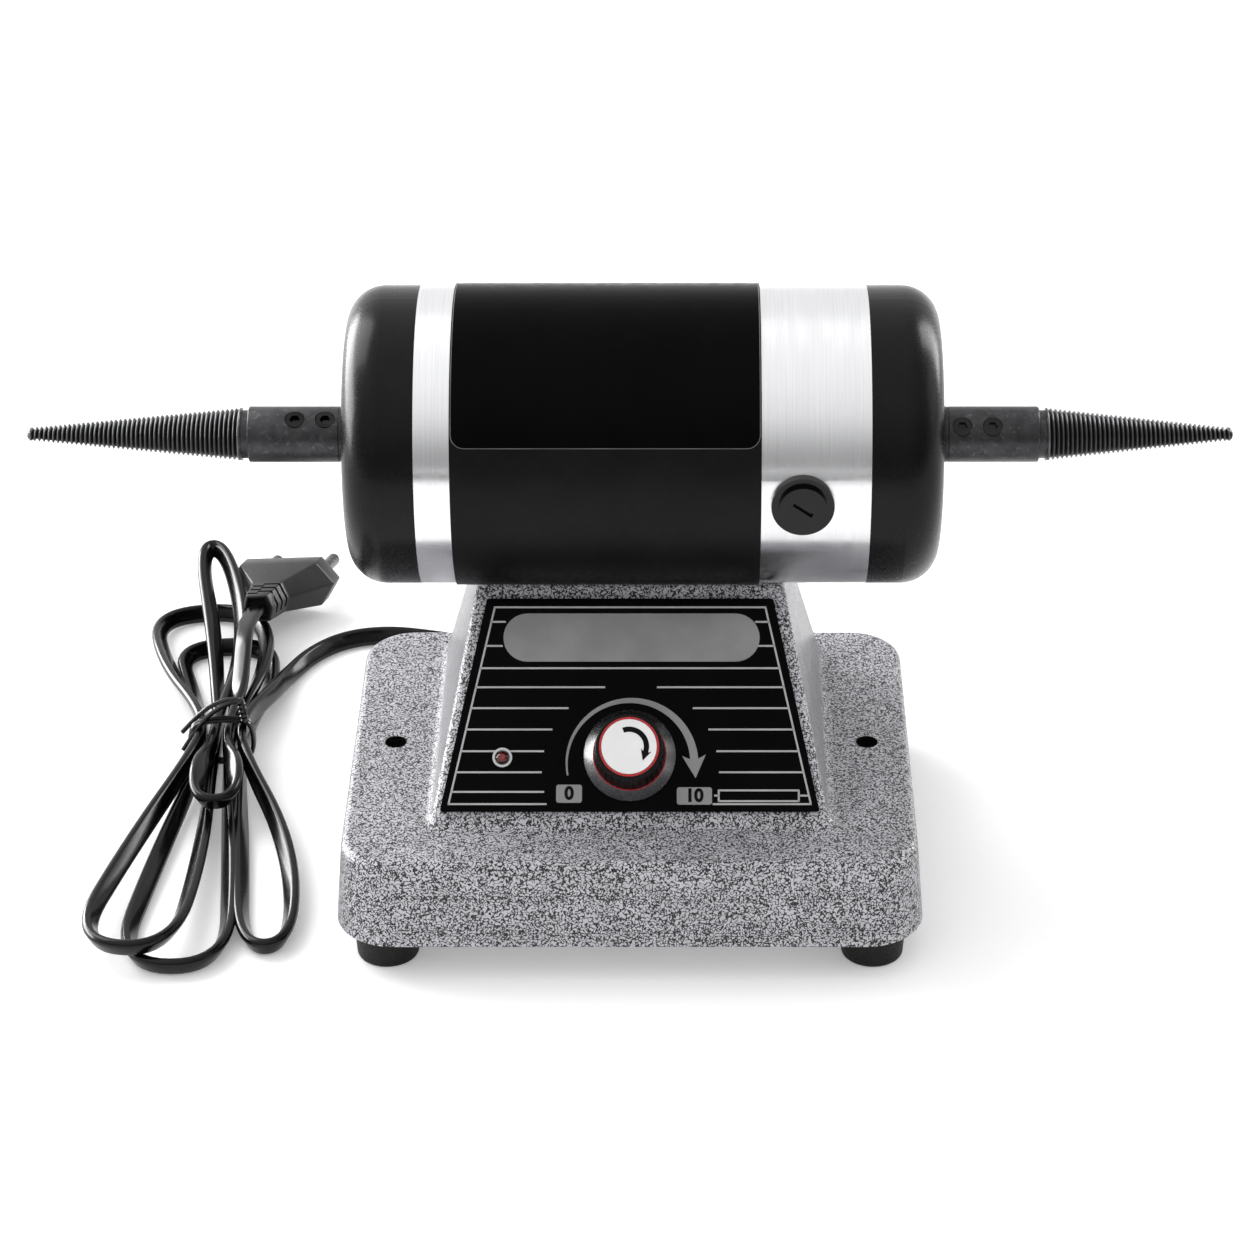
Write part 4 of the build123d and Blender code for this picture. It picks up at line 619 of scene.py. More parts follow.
class BUFFER_OT_cord(bpy.types.Operator):
    """Lays the flat power cord along its route, through the hank to the plug"""

    bl_idname = "buffer.cord"
    bl_label = "Power cord"

    EDGE_LIFT = 0.55
    SPLINE_STEPS = 10
    BEVEL_STEPS = 3
    # How far the flat cord leans from standing on edge
    FLARE_LEAN = math.radians(58)
    TIP_LEAN = math.radians(24)
    LEAD_LEAN = math.radians(30)
    PLUG_LEAN = math.radians(62)
    PLUG_END_LEAN = math.radians(82)

    def waist_point(self, slot, facing):
        """Where a strand passes one end of the waist."""
        column, layer = slot
        return HANK_WAIST + Vector(
            (
                (column - HANK_MIDDLE_COLUMN) * HANK_COLUMN_STEP,
                facing * HANK_WAIST_LENGTH / 2,
                HANK_LIFT + layer * HANK_LAYER_STEP,
            )
        )

    def lobe_points(self, lobe):
        """The waist points and the four turning points of one lobe, each with the cord's lean."""
        facing, swing, reach, tip_width, flare_width, bow, heights, entry, first, last = lobe
        turn = math.radians(swing)
        outward = Vector((math.sin(turn), facing * math.cos(turn), 0))
        across = Vector((math.cos(turn), -facing * math.sin(turn), 0))
        root = (self.waist_point(first, facing) + self.waist_point(last, facing)) / 2
        root.z = 0
        flare = root + outward * reach * HANK_FLARE_SHARE + across * bow
        tip = root + outward * reach
        way_in, way_round, way_out = (Vector((0, 0, height)) for height in heights)
        outwards = entry * facing
        return [
            (self.waist_point(first, -facing), 0.0),
            (self.waist_point(first, facing), 0.0),
            (flare + across * entry * flare_width / 2 + way_in, outwards * self.FLARE_LEAN),
            (tip + across * entry * tip_width / 2 + way_round, outwards * self.TIP_LEAN),
            (tip - across * entry * tip_width / 2 + way_round, outwards * self.TIP_LEAN),
            (flare - across * entry * flare_width / 2 + way_out, outwards * self.FLARE_LEAN),
        ]

    def route(self):
        """Every point of the cord, in metres, with its lean."""
        start = GLAND_ORIGIN + GLAND_OUT * GLAND_REACH
        last_slot = HANK_LOBES[-1][-1]
        lying = [(Vector(point), self.LEAD_LEAN) for point in LEAD_ROUTE]
        for lobe in HANK_LOBES:
            lying += self.lobe_points(lobe)
        lying += [(self.waist_point(last_slot, facing), 0.0) for facing in (-1, 1)]
        lying += [(Vector(point), self.PLUG_LEAN) for point in PLUG_ROUTE]
        lift = Vector((0, 0, self.EDGE_LIFT))
        points = [(start, 0.0), (start + GLAND_OUT * END_RUN, 0.0)]
        points += [(point + lift, lean) for point, lean in lying]
        points += [(PLUG_START - PLUG_FORWARD * run, self.PLUG_END_LEAN) for run in (END_RUN, 0)]
        return [(point * MM, lean) for point, lean in points]

    def execute(self, context):
        settings = context.scene.buffer_cord
        points, leans = zip(*self.route())
        curve = new_curve("power_cord", self.SPLINE_STEPS, settings.thickness / 2, self.BEVEL_STEPS)
        curve.twist_mode = "Z_UP"
        curve.extrude = (settings.width - settings.thickness) / 2
        for knot, lean in zip(add_strand(curve, points), leans):
            knot.tilt = lean
        cord = new_object("power_cord", curve)
        curve.materials.append(slot_finish("cord_plastic"))
        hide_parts("cord_lead", "cord_hank", "plug_lead")
        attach(cord, "base")
        return {"FINISHED"}


class BUFFER_OT_tie(bpy.types.Operator):
    """Winds the wire tie round the hank's waist, with its twist and two free ends"""

    bl_idname = "buffer.tie"
    bl_label = "Wire tie"

    # The loop's corners as shares of its half width and half height
    LOOP_SHARES = [
        (1, 0.5), (0.75, 1), (-0.75, 1), (-1, 0.5), (-1, -0.5), (-0.75, -1), (0.75, -1), (1, -0.5)
    ]
    LOOP_HALF = Vector((9.0, 7.0))
    LOOP_MIDDLE = Vector((-119.5, 45.0, 7.8))
    LOOP_SLANT = 1.2
    LOOP_STEPS = (-0.7, 0.7)
    TWIST_FOOT = Vector((-112.6, 44.6, 14.4))
    TWIST_TOP = Vector((-113.8, 46.5, 20.6))
    TWIST_TURNS = 2.5
    TWIST_STEPS = 18
    ENDS = [
        [(-118.0, 46.6, 20.6), (-124.8, 46.6, 17.2), (-131.0, 45.0, 10.4)],
        [(-118.0, 45.0, 20.0), (-125.0, 43.6, 15.2), (-130.4, 40.0, 7.4)],
    ]
    SPLINE_STEPS = 8
    BEVEL_STEPS = 2

    def execute(self, context):
        settings = context.scene.buffer_cord
        curve = new_curve("tie_wire", self.SPLINE_STEPS, settings.wire / 2, self.BEVEL_STEPS)
        for step in self.LOOP_STEPS:
            loop = [
                self.LOOP_MIDDLE
                + Vector((wide * self.LOOP_HALF.x, step + wide * self.LOOP_SLANT, high * self.LOOP_HALF.y))
                for wide, high in self.LOOP_SHARES
            ]
            add_strand(curve, [point * MM for point in loop], closed=True)
        rise = self.TWIST_TOP - self.TWIST_FOOT
        for number, free_end in enumerate(self.ENDS):
            points = []
            for step in range(self.TWIST_STEPS + 1):
                share = step / self.TWIST_STEPS
                angle = (share * self.TWIST_TURNS + number / 2) * FULL_TURN
                ring = Vector((math.cos(angle), math.sin(angle), 0)) * settings.wire / 2 / MM
                points.append(self.TWIST_FOOT + rise * share + ring)
            points += [Vector(point) for point in free_end]
            add_strand(curve, [point * MM for point in points])
        activate(new_object("tie_wire", curve))
        bpy.ops.object.convert(target="MESH")
        tie = context.object
        smooth(tie)
        settle(tie, "tie_wire", "base", "tie_wire", "cord_tie")
        return {"FINISHED"}


class BUFFER_OT_plug(bpy.types.Operator):
    """Makes the six-sided plug with its slotted neck"""

    bl_idname = "buffer.plug"
    bl_label = "Plug"

    # Each section along the plug: station, half width, half height, in millimetres
    SECTIONS = [(0.0, 4.7, 4.2), (10.6, 6.6, 4.9), (22.2, 17.4, 6.95), (28.6, 17.4, 6.95)]
    CORNERS = 6
    FLAT_SHARE = 25.0 / 35.0
    EDGE = 0.45 * MM
    EDGE_STEPS = 3
    EDGE_ANGLE = math.radians(18)
    FLAT_ANGLE = math.radians(25)
    MOUTH_INSET = 1.1 * MM
    MOUTH_DEPTH = 2.4 * MM
    SLOT_FIRST = 1.9
    SLOT_STEP = 2.9
    SLOTS = 3
    SLOT_WIDTH = 1.0
    CRACK = 0.01 * MM
    # Each cutter of one step: how many half steps on, low and high across, low and high up, in millimetres
    CUTTERS = [(0, -0.1, 3.4, 3.4, 7.0), (1, -8.0, 0.6, 3.5, 7.0), (1, -8.0, -4.4, -2.6, 7.0)]

    def cutter(self, station, box, turn):
        """A box that cuts one slot into the neck."""
        low_x, high_x, low_y, high_y = box
        bpy.ops.mesh.primitive_cube_add(size=1)
        piece = bpy.context.object
        middle = Vector(((low_x + high_x) / 2, (low_y + high_y) / 2, station)) * MM
        size = Matrix.Diagonal(((high_x - low_x) * MM, (high_y - low_y) * MM, self.SLOT_WIDTH * MM, 1))
        place(piece, Matrix.Rotation(turn, 4, "Z") @ Matrix.Translation(middle) @ size)
        return piece

    def body(self):
        """The plug's outer form, drawn out section by section from its mouth."""
        station, wide, high = self.SECTIONS[0]
        plug = new_disc(self.CORNERS, 1)
        for vertex in plug.data.vertices:
            on_side = abs(vertex.co.x) < abs(vertex.co.y) / 2
            reach = wide if on_side else wide * self.FLAT_SHARE
            across = math.copysign(reach, vertex.co.y)
            rise = 0 if on_side else math.copysign(high, vertex.co.x)
            vertex.co = (across * MM, rise * MM, 0)
        edit(plug)
        for next_station, next_wide, next_high in self.SECTIONS[1:]:
            draw_out((0, 0, (next_station - station) * MM), (next_wide / wide, next_high / high, 1))
            station, wide, high = next_station, next_wide, next_high
        close_up(plug)
        edit_face(plug, lambda face: -face.center.z)
        bpy.ops.mesh.inset(thickness=self.MOUTH_INSET)
        draw_out((0, 0, self.MOUTH_DEPTH))
        round_edges(plug, self.EDGE, self.EDGE_STEPS, self.EDGE_ANGLE)
        return plug

    def execute(self, context):
        plug = self.body()
        deselect()
        cutters = [
            self.cutter(self.SLOT_FIRST + (number + on / 2) * self.SLOT_STEP, box, turn)
            for number in range(self.SLOTS)
            for on, *box in self.CUTTERS
            for turn in (0, math.pi)
        ]
        cut(plug, cutters)
        edit(plug)
        bpy.ops.mesh.dissolve_degenerate(threshold=self.CRACK)
        bpy.ops.mesh.fill_holes(sides=0)
        close_up(plug)
        smooth(plug, self.FLAT_ANGLE)
        turn = Matrix((PLUG_RIGHT, PLUG_RIGHT.cross(-PLUG_FORWARD), PLUG_FORWARD)).transposed()
        place(plug, Matrix.Translation(PLUG_START * MM) @ turn.to_4x4())
        settle(plug, "slotted_plug", "base", "plug_plastic", "plug_body")
        return {"FINISHED"}


class BUFFER_OT_spindles(bpy.types.Operator):
    """Cuts the thread of the two tapered spindles"""

    bl_idname = "buffer.spindles"
    bl_label = "Threaded spindles"

    # One pitch of the thread: share of the pitch, share of the depth
    THREAD_SHARES = ((0.0, 1.0), (0.1, 0.88), (0.36, 0.12), (0.5, 0.0), (0.64, 0.12), (0.9, 0.88))
    ROOT_RADIUS = 7.2 * MM
    TIP_RADIUS = 1.85 * MM
    SLEEVE_LENGTH = 26.2 * MM
    SLEEVE_RADIUS = 7.5 * MM
    SLEEVE_SIDES = 96
    SLEEVE_EDGE = 0.45 * MM
    EDGE_STEPS = 3
    EDGE_ANGLE = math.radians(50)
    BORE_RADIUS = 5.05 * MM
    BORE_DEPTH = 20.2 * MM
    SCREW_STATIONS = (5.3 * MM, 13.4 * MM)
    SCREW_RADIUS = 2.65 * MM
    SCREW_ANGLES = {"left": math.radians(60), "right": math.radians(43)}
    GROOVE_STATION = 1.7 * MM
    GROOVE_WIRE = 0.16 * MM
    GROOVE_SIDES = 8
    NECK_RADIUS = 6.5 * MM
    NECK_LENGTH = 2.2 * MM
    NECK_OVERLAP = 0.3 * MM
    TIP_CROWN = 0.8 * MM
    TIP_SHARE = 0.6
    # A face with at least so many corners closes an end of the cone
    END_CORNERS = 12
    FADE_TURNS = 0.8
    GRID_SIDE = 1.0
    # The crest values where the painted groove shade ends and of the plain sleeve: grooves are at 0 and
    # crests at 1
    GROOVE_CREST = 0.05
    SLEEVE_CREST = 0.4
    # The black oxide: sizes of its grains, colours, gloss and relief
    SCUFF_GRAIN = 1.6 * MM
    SCUFF_DETAIL = 6.0
    SCUFF_ROUGHNESS = 0.7
    SCUFF_RANGE = (0.53, 0.72)
    SCUFF_COLOUR = (0.11, 0.11, 0.114)
    MOTTLE_GRAIN = 3.0 * MM
    MOTTLE_COLOUR = (0.056, 0.056, 0.059)
    FINE_GRAIN = 0.35 * MM
    OXIDE_ROUGH = (0.28, 0.46)
    OXIDE_RELIEF = 0.015 * MM
    OXIDE_METALLIC = 0.85

    def thread(self, start, end, settings):
        """A cone whose surface follows a helix, from a start to an end along X."""
        length = abs(end - start)
        way = math.copysign(1, end - start)
        step = len(self.THREAD_SHARES)
        turns = math.ceil(length / settings.pitch) + 1
        rings = turns * step
        bpy.ops.mesh.primitive_grid_add(
            x_subdivisions=rings, y_subdivisions=settings.sides, size=self.GRID_SIDE
        )
        cone = bpy.context.object
        # The crest share drives the oxide's painted shade in the grooves and its worn crests with a painted
        # highlight
        crests = cone.data.attributes.new("crest", "FLOAT", "POINT")
        for vertex, crest in zip(cone.data.vertices, crests.data):
            ring = round((vertex.co.x / self.GRID_SIDE + 0.5) * rings)
            side = round((vertex.co.y / self.GRID_SIDE + 0.5) * settings.sides) / settings.sides
            pitch_share, depth_share = self.THREAD_SHARES[ring % step]
            along = (ring // step + pitch_share - 1 + side) * settings.pitch
            along = min(max(along, 0.0), length)
            fade = min(1.0, along / settings.pitch, (length - along) / settings.pitch / self.FADE_TURNS)
            taper = self.ROOT_RADIUS + (self.TIP_RADIUS - self.ROOT_RADIUS) * along / length
            radius = taper - settings.depth * (1 - depth_share) * max(fade, 0.0)
            angle = side * FULL_TURN
            crest.value = depth_share
            vertex.co = (
                start + way * along,
                AXIS_Y + radius * math.cos(angle),
                AXIS_Z + radius * math.sin(angle),
            )
        close_up(cone)
        edit(cone)
        bpy.ops.mesh.fill_holes(sides=0)
        return cone

    def execute(self, context):
        settings = context.scene.buffer_spindle
        finish = self.oxide(settings)
        for side, way in (("left", -1), ("right", 1)):
            node = f"spindle_{side}"
            low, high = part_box(node)
            seat, tip = (high.x, low.x) if way < 0 else (low.x, high.x)
            neck_end = seat + way * (self.SLEEVE_LENGTH + self.NECK_LENGTH)
            deselect()
            sleeve = self.sleeve(seat, way, self.SCREW_ANGLES[side])
            deselect()
            cone = self.thread(neck_end - way * self.NECK_OVERLAP, tip - way * self.TIP_CROWN, settings)
            self.crown(cone, way)
            spindle = join([cone, sleeve])
            smooth(spindle)
            settle(spindle, f"threaded_{node}", "rotor", "spindle_steel", node, finish=finish)
        return {"FINISHED"}

    def along(self, spot, line):
        """The matrix of a spot whose Z runs along a line."""
        return Matrix.Translation(spot) @ line.to_track_quat("Z", "Y").to_matrix().to_4x4()

    def rod(self, radius, length, middle, line):
        """A round bar of a length about a middle, along a line."""
        bpy.ops.mesh.primitive_cylinder_add(vertices=self.SLEEVE_SIDES, radius=radius, depth=length)
        piece = bpy.context.object
        place(piece, self.along(middle, line))
        return piece

    def sleeve(self, seat, way, screw_angle):
        """The bored sleeve with its set-screw holes, and the neck that leads to the thread."""
        out = Vector((way, 0, 0))
        start = Vector((seat, AXIS_Y, AXIS_Z))
        body = self.rod(self.SLEEVE_RADIUS, self.SLEEVE_LENGTH, start + out * self.SLEEVE_LENGTH / 2, out)
        round_edges(body, self.SLEEVE_EDGE, self.EDGE_STEPS, self.EDGE_ANGLE)
        screw_line = Vector((0, -math.cos(screw_angle), math.sin(screw_angle)))
        cutters = [self.rod(self.BORE_RADIUS, 2 * self.BORE_DEPTH, start, out)]
        for station in self.SCREW_STATIONS:
            hole_middle = start + out * station + screw_line * self.SLEEVE_RADIUS
            cutters.append(self.rod(self.SCREW_RADIUS, self.SLEEVE_RADIUS, hole_middle, screw_line))
        bpy.ops.mesh.primitive_torus_add(
            major_radius=self.SLEEVE_RADIUS, minor_radius=self.GROOVE_WIRE,
            major_segments=self.SLEEVE_SIDES, minor_segments=self.GROOVE_SIDES,
        )
        groove = bpy.context.object
        place(groove, self.along(start + out * self.GROOVE_STATION, out))
        cut(body, cutters + [groove])
        neck_middle = start + out * (self.SLEEVE_LENGTH + self.NECK_LENGTH / 2)
        neck = self.rod(self.NECK_RADIUS, self.NECK_LENGTH + 2 * self.NECK_OVERLAP, neck_middle, out)
        plain = join([body, neck])
        for crest in plain.data.attributes.new("crest", "FLOAT", "POINT").data:
            crest.value = self.SLEEVE_CREST
        return plain

    def crown(self, cone, way):
        """Draws the cone's small end out into a rounded tip."""
        edit_face(cone, lambda face: (len(face.vertices) >= self.END_CORNERS, face.center.x * way))
        draw_out((way * self.TIP_CROWN, 0, 0), (1, self.TIP_SHARE, self.TIP_SHARE))

    def oxide(self, settings):
        """Black oxide with pale scuffs, painted shade in the thread's grooves, and worn crests with a
        painted highlight.
        """
        finish, tree, shader = new_finish("black_oxide")
        scratches = grain_noise(tree, self.SCUFF_GRAIN, self.SCUFF_DETAIL, roughness=self.SCUFF_ROUGHNESS)
        scuffs = spread(tree, scratches, *self.SCUFF_RANGE)
        mottle = spread(tree, grain_noise(tree, self.MOTTLE_GRAIN), *NOISE_RANGE)
        crest = add_node(tree, "ShaderNodeAttribute", {}, attribute_name="crest").outputs["Fac"]
        # Painted shade in the grooves: out of the grooves the oxide keeps its own colour
        out_of_groove_shade = spread(tree, crest, self.GROOVE_CREST, self.SLEEVE_CREST)
        # Worn crests with a painted highlight: the crests take the pale crest colour
        bare = spread(tree, crest, self.SLEEVE_CREST, 1.0)
        ground = blend_colours(tree, mottle, solid(settings.colour), solid(self.MOTTLE_COLOUR))
        worn = blend_colours(tree, scuffs, ground, solid(self.SCUFF_COLOUR))
        groove_shaded = blend_colours(tree, out_of_groove_shade, solid(settings.groove_shade_colour), worn)
        fine = grain_noise(tree, self.FINE_GRAIN)
        inputs = {
            "Base Color": blend_colours(tree, bare, groove_shaded, solid(settings.crest_wear_and_highlight_colour)),
            "Metallic": self.OXIDE_METALLIC,
            "Roughness": spread(tree, fine, *NOISE_RANGE, *self.OXIDE_ROUGH),
            "Normal": bump(tree, fine, self.OXIDE_RELIEF),
        }
        feed(tree, shader, inputs)
        return finish


class BUFFER_OT_knob(bpy.types.Operator):
    """Makes the fluted grip of the knob, its red foot line and the arrow on its cap"""

    bl_idname = "buffer.knob"
    bl_label = "Speed knob"

    # The skirt's profile: radius and rise, in millimetres
    SKIRT_PROFILE = [(9.0, 0.0), (12.45, 0.0), (12.45, 0.4), (12.25, 0.65), (9.85, 3.0), (9.0, 3.0)]
    SPIN_STEPS = 96
    SIDES_PER_FLUTE = 6
    RIM_BEVEL = 0.5 * MM
    RIM_STEPS = 3
    RING_SEAT_RADIUS = 8.05 * MM
    RING_SEAT_DEPTH = 1.4 * MM
    FOOT_LINE_RADIUS = 9.7 * MM
    FOOT_LINE_WIRE = 0.18 * MM
    FOOT_LINE_SIDES = 10
    ARROW_RADIUS = 4.6 * MM
    ARROW_WIDTHS = (1.4 * MM, 1.4 * MM)
    ARROW_ANGLES = (math.radians(110), math.radians(-18))
    ARROW_HEAD_HALF = 1.45 * MM
    ARROW_HEAD_LENGTH = 2.5 * MM
    ARROW_HEIGHT = 0.05 * MM

    def execute(self, context):
        settings = context.scene.buffer_knob
        grip_foot = on_panel(0, KNOB_RISE, KNOB_FOOT + KNOB_SKIRT_HEIGHT)
        grip = self.grip(settings, KNOB_TOP - KNOB_FOOT - KNOB_SKIRT_HEIGHT)
        place(grip, grip_foot)
        settle(grip, "knob_grip", "knob", "knob_plastic", "knob_body")
        corners = [corner / self.FOOT_LINE_SIDES * FULL_TURN for corner in range(self.FOOT_LINE_SIDES)]
        rim = [Vector((math.cos(angle), math.sin(angle))) * self.FOOT_LINE_WIRE for angle in corners]
        line = self.spun("foot_line", [(self.FOOT_LINE_RADIUS + point.x, point.y) for point in rim])
        place(line, grip_foot)
        settle(line, "knob_foot_line", "knob", "knob_red")
        skirt = self.spun("skirt", [(radius * MM, rise * MM) for radius, rise in self.SKIRT_PROFILE])
        place(skirt, on_panel(0, KNOB_RISE, KNOB_FOOT))
        settle(skirt, "knob_flare", "knob", "knob_metal", "knob_skirt")
        arrow = curved_arrow(
            Vector((0, 0)), self.ARROW_RADIUS, self.ARROW_ANGLES, self.ARROW_WIDTHS,
            self.ARROW_HEAD_HALF, self.ARROW_HEAD_LENGTH, self.ARROW_HEIGHT,
        )
        place(arrow, on_panel(0, KNOB_RISE, KNOB_CAP_TOP))
        settle(arrow, "knob_arrow", "knob", "knob_plastic", finish=bpy.data.materials["cap_ink"])
        return {"FINISHED"}

    def grip(self, settings, height):
        """The fluted grip, with a seat for its ring in its top."""
        grip = new_disc(settings.flutes * self.SIDES_PER_FLUTE, settings.grip_radius)
        edit(grip)
        shrink = settings.grip_top_radius / settings.grip_radius
        draw_out((0, 0, height), (shrink, shrink, 1))
        bpy.ops.mesh.bevel(offset=self.RIM_BEVEL, segments=self.RIM_STEPS)
        bpy.ops.object.mode_set(mode="OBJECT")
        for vertex in grip.data.vertices:
            angle = math.atan2(vertex.co.y, vertex.co.x)
            wave = (1 - math.cos(angle * settings.flutes)) / 2
            if vertex.co.z < height - self.RIM_BEVEL / 2:
                radius = vertex.co.xy.length
                vertex.co.xy *= (radius - settings.flute_depth * wave**2) / radius
        edit_face(grip, lambda face: face.center.z + face.area)
        bpy.ops.mesh.inset(thickness=settings.grip_top_radius - self.RIM_BEVEL - self.RING_SEAT_RADIUS)
        draw_out((0, 0, -self.RING_SEAT_DEPTH))
        close_up(grip)
        smooth(grip)
        return grip

    def spun(self, name, profile):
        """A closed profile of radius and rise, spun round the knob's axis."""
        count = len(profile)
        points = [(radius, 0, rise) for radius, rise in profile]
        ring = new_mesh(name, points, [], [(corner, (corner + 1) % count) for corner in range(count)])
        edit(ring)
        bpy.ops.mesh.spin(steps=self.SPIN_STEPS, angle=FULL_TURN, center=(0, 0, 0), axis=(0, 0, 1))
        close_up(ring)
        smooth(ring)
        return ring


ARROW_STEPS = 40
ARROW_NOTCH_SHARE = 0.2


def curved_arrow(centre, radius, angles, widths, head_half, head_length, height):
    """An arrow along an arc, from one width to another, with a notched head and a thickness."""
    first, last = angles
    inner = []
    outer = []
    for step in range(ARROW_STEPS + 1):
        share = step / ARROW_STEPS
        angle = first + (last - first) * share
        half = (widths[0] + (widths[1] - widths[0]) * share) / 2
        ray = Vector((math.cos(angle), math.sin(angle)))
        inner.append(centre + ray * (radius - half))
        outer.append(centre + ray * (radius + half))
    ray = Vector((math.cos(last), math.sin(last)))
    ahead = Vector((math.sin(last), -math.cos(last)))
    foot = centre + ray * radius
    head = [
        foot - ray * head_half - ahead * head_length * ARROW_NOTCH_SHARE,
        foot + ahead * head_length,
        foot + ray * head_half - ahead * head_length * ARROW_NOTCH_SHARE,
    ]
    points = [(*point, 0) for point in inner + outer + head]
    row = ARROW_STEPS + 1
    faces = [(step, step + 1, row + step + 1, row + step) for step in range(ARROW_STEPS)]
    faces.append((row - 1, 2 * row, 2 * row + 1))
    faces.append((row - 1, 2 * row + 1, 2 * row - 1))
    faces.append((2 * row - 1, 2 * row + 1, 2 * row + 2))
    arrow = new_mesh("arrow", points, faces)
    close_up(arrow)
    thicken(arrow, height)
    return arrow


class BUFFER_OT_panel_print(bpy.types.Operator):
    """Prints the lines, plates, dial numbers and arrow on the control panel"""

    bl_idname = "buffer.panel_print"
    bl_label = "Panel print"

    # Lines as (from across, from rise, to across, to rise), in millimetres
    LINES = [
        (-36.5, 60.2, 36.5, 60.2),
        (-36.5, 60.2, -48.4, 6.6),
        (36.5, 60.2, 48.4, 6.6),
        (-48.4, 6.6, -22.3, 6.6),
        (22.3, 6.6, 48.4, 6.6),
        (-37.4, 56.2, -33.6, 56.2),
        (-38.9, 49.6, -34.4, 49.6),
        (33.8, 56.2, 37.4, 56.2),
        (34.6, 49.6, 38.9, 49.6),
        (-40.2, 43.5, 40.2, 43.5),
        (-41.4, 38.3, -6.8, 38.3),
        (7.4, 38.3, 41.4, 38.3),
        (-42.6, 32.6, -16.6, 32.6),
        (17.0, 32.6, 42.6, 32.6),
        (-43.9, 26.8, -20.9, 26.8),
        (21.2, 26.8, 43.9, 26.8),
        (-45.2, 20.9, -23.1, 20.9),
        (23.3, 20.9, 45.2, 20.9),
        (-46.4, 15.2, -23.7, 15.2),
        (24.0, 15.2, 46.4, 15.2),
        (-47.6, 9.9, -23.0, 9.9),
        (23.8, 10.3, 45.2, 10.3),
        (23.8, 7.4, 45.2, 7.4),
        (23.8, 10.3, 23.8, 7.4),
        (45.2, 10.3, 45.2, 7.4),
        (22.7, 8.9, 23.8, 8.9),
        (45.2, 8.9, 47.6, 8.9),
    ]
    # Plates as (centre across, centre rise, width, height, corner radius), in millimetres
    PLATES = [
        (0.4, 51.9, 69.0, 13.2, 6.5),
        (-16.2, 9.4, 6.9, 4.9, 0.7),
        (17.3, 8.8, 9.4, 4.7, 0.7),
    ]
    DIGITS = {"0": (-16.2, 9.4), "10": (17.3, 8.8)}
    DIGIT_SIZE = 4.8 * MM
    DIGIT_SPREAD = 0.2 * MM
    PLATE_STEPS = 8
    ARC_CENTRE = Vector((0.2, 17.6)) * MM
    ARC_RADIUS = 17.1 * MM
    ARC_ANGLES = (math.radians(191), math.radians(4))
    ARC_WIDTHS = (0.45 * MM, 2.2 * MM)
    ARC_HEAD_HALF = 3.2 * MM
    ARC_HEAD_LENGTH = 5.2 * MM
    # Second colour, grain and roughness range of the lines and the plates
    LINE_SILVER = ((0.43, 0.43, 0.435), 0.7, (0.3, 0.5))
    PLATE_SILVER = ((0.24, 0.24, 0.245), 1.6, (0.3, 0.5))

    def sheet(self, size, middle, turn=0.0):
        """A flat sheet of a width and height about a middle on the panel."""
        bpy.ops.mesh.primitive_plane_add(size=1)
        sheet = bpy.context.object
        stretch = Matrix.Diagonal((*size, 1, 1))
        place(sheet, Matrix.Translation((*middle, 0)) @ Matrix.Rotation(turn, 4, "Z") @ stretch)
        return sheet

    def line(self, ends, settings):
        """One printed line, a thin strip between its ends."""
        first = Vector(ends[:2]) * MM
        last = Vector(ends[2:]) * MM
        run = last - first
        size = (run.length + settings.line / 2, settings.line)
        strip = self.sheet(size, (first + last) / 2, math.atan2(run.y, run.x))
        thicken(strip, settings.print_height)
        return strip

    def plate(self, across, rise, width, height, corner, settings):
        """A pale plate with rounded corners."""
        plate = self.sheet((width * MM, height * MM), (across * MM, rise * MM))
        edit(plate)
        bpy.ops.mesh.bevel(offset=corner * MM, segments=self.PLATE_STEPS, affect="VERTICES")
        thicken(plate, settings.print_height)
        return plate

    def digits(self, text, spot, settings):
        """A dial number, made a mesh."""
        bpy.ops.object.text_add()
        number = bpy.context.object
        number.data.body = text
        number.data.size = self.DIGIT_SIZE
        number.data.align_x = "CENTER"
        number.data.align_y = "CENTER"
        number.data.offset = self.DIGIT_SPREAD
        bpy.ops.object.convert(target="MESH")
        number = bpy.context.object
        place(number, Matrix.Translation((spot[0] * MM, spot[1] * MM, settings.print_height)))
        thicken(number, settings.print_height)
        return number

    def execute(self, context):
        settings = context.scene.buffer_panel
        deselect()
        lines = join([self.line(ends, settings) for ends in self.LINES])
        arc = curved_arrow(
            self.ARC_CENTRE, self.ARC_RADIUS, self.ARC_ANGLES, self.ARC_WIDTHS,
            self.ARC_HEAD_HALF, self.ARC_HEAD_LENGTH, settings.print_height,
        )
        deselect()
        plates = join([self.plate(*sizes, settings) for sizes in self.PLATES] + [arc])
        deselect()
        numbers = join([self.digits(text, spot, settings) for text, spot in self.DIGITS.items()])
        named = {
            "panel_lines": (lines, speckled("print_silver", settings.print_colour, *self.LINE_SILVER)),
            "panel_plates": (plates, speckled("plate_silver", settings.plate_colour, *self.PLATE_SILVER)),
            "panel_numbers": (numbers, bpy.data.materials["digit_black"]),
        }
        for name, (piece, ink) in named.items():
            place(piece, on_panel(0, 0, PANEL_FACE))
            settle(piece, name, "base", "panel_plastic", finish=ink)
        return {"FINISHED"}


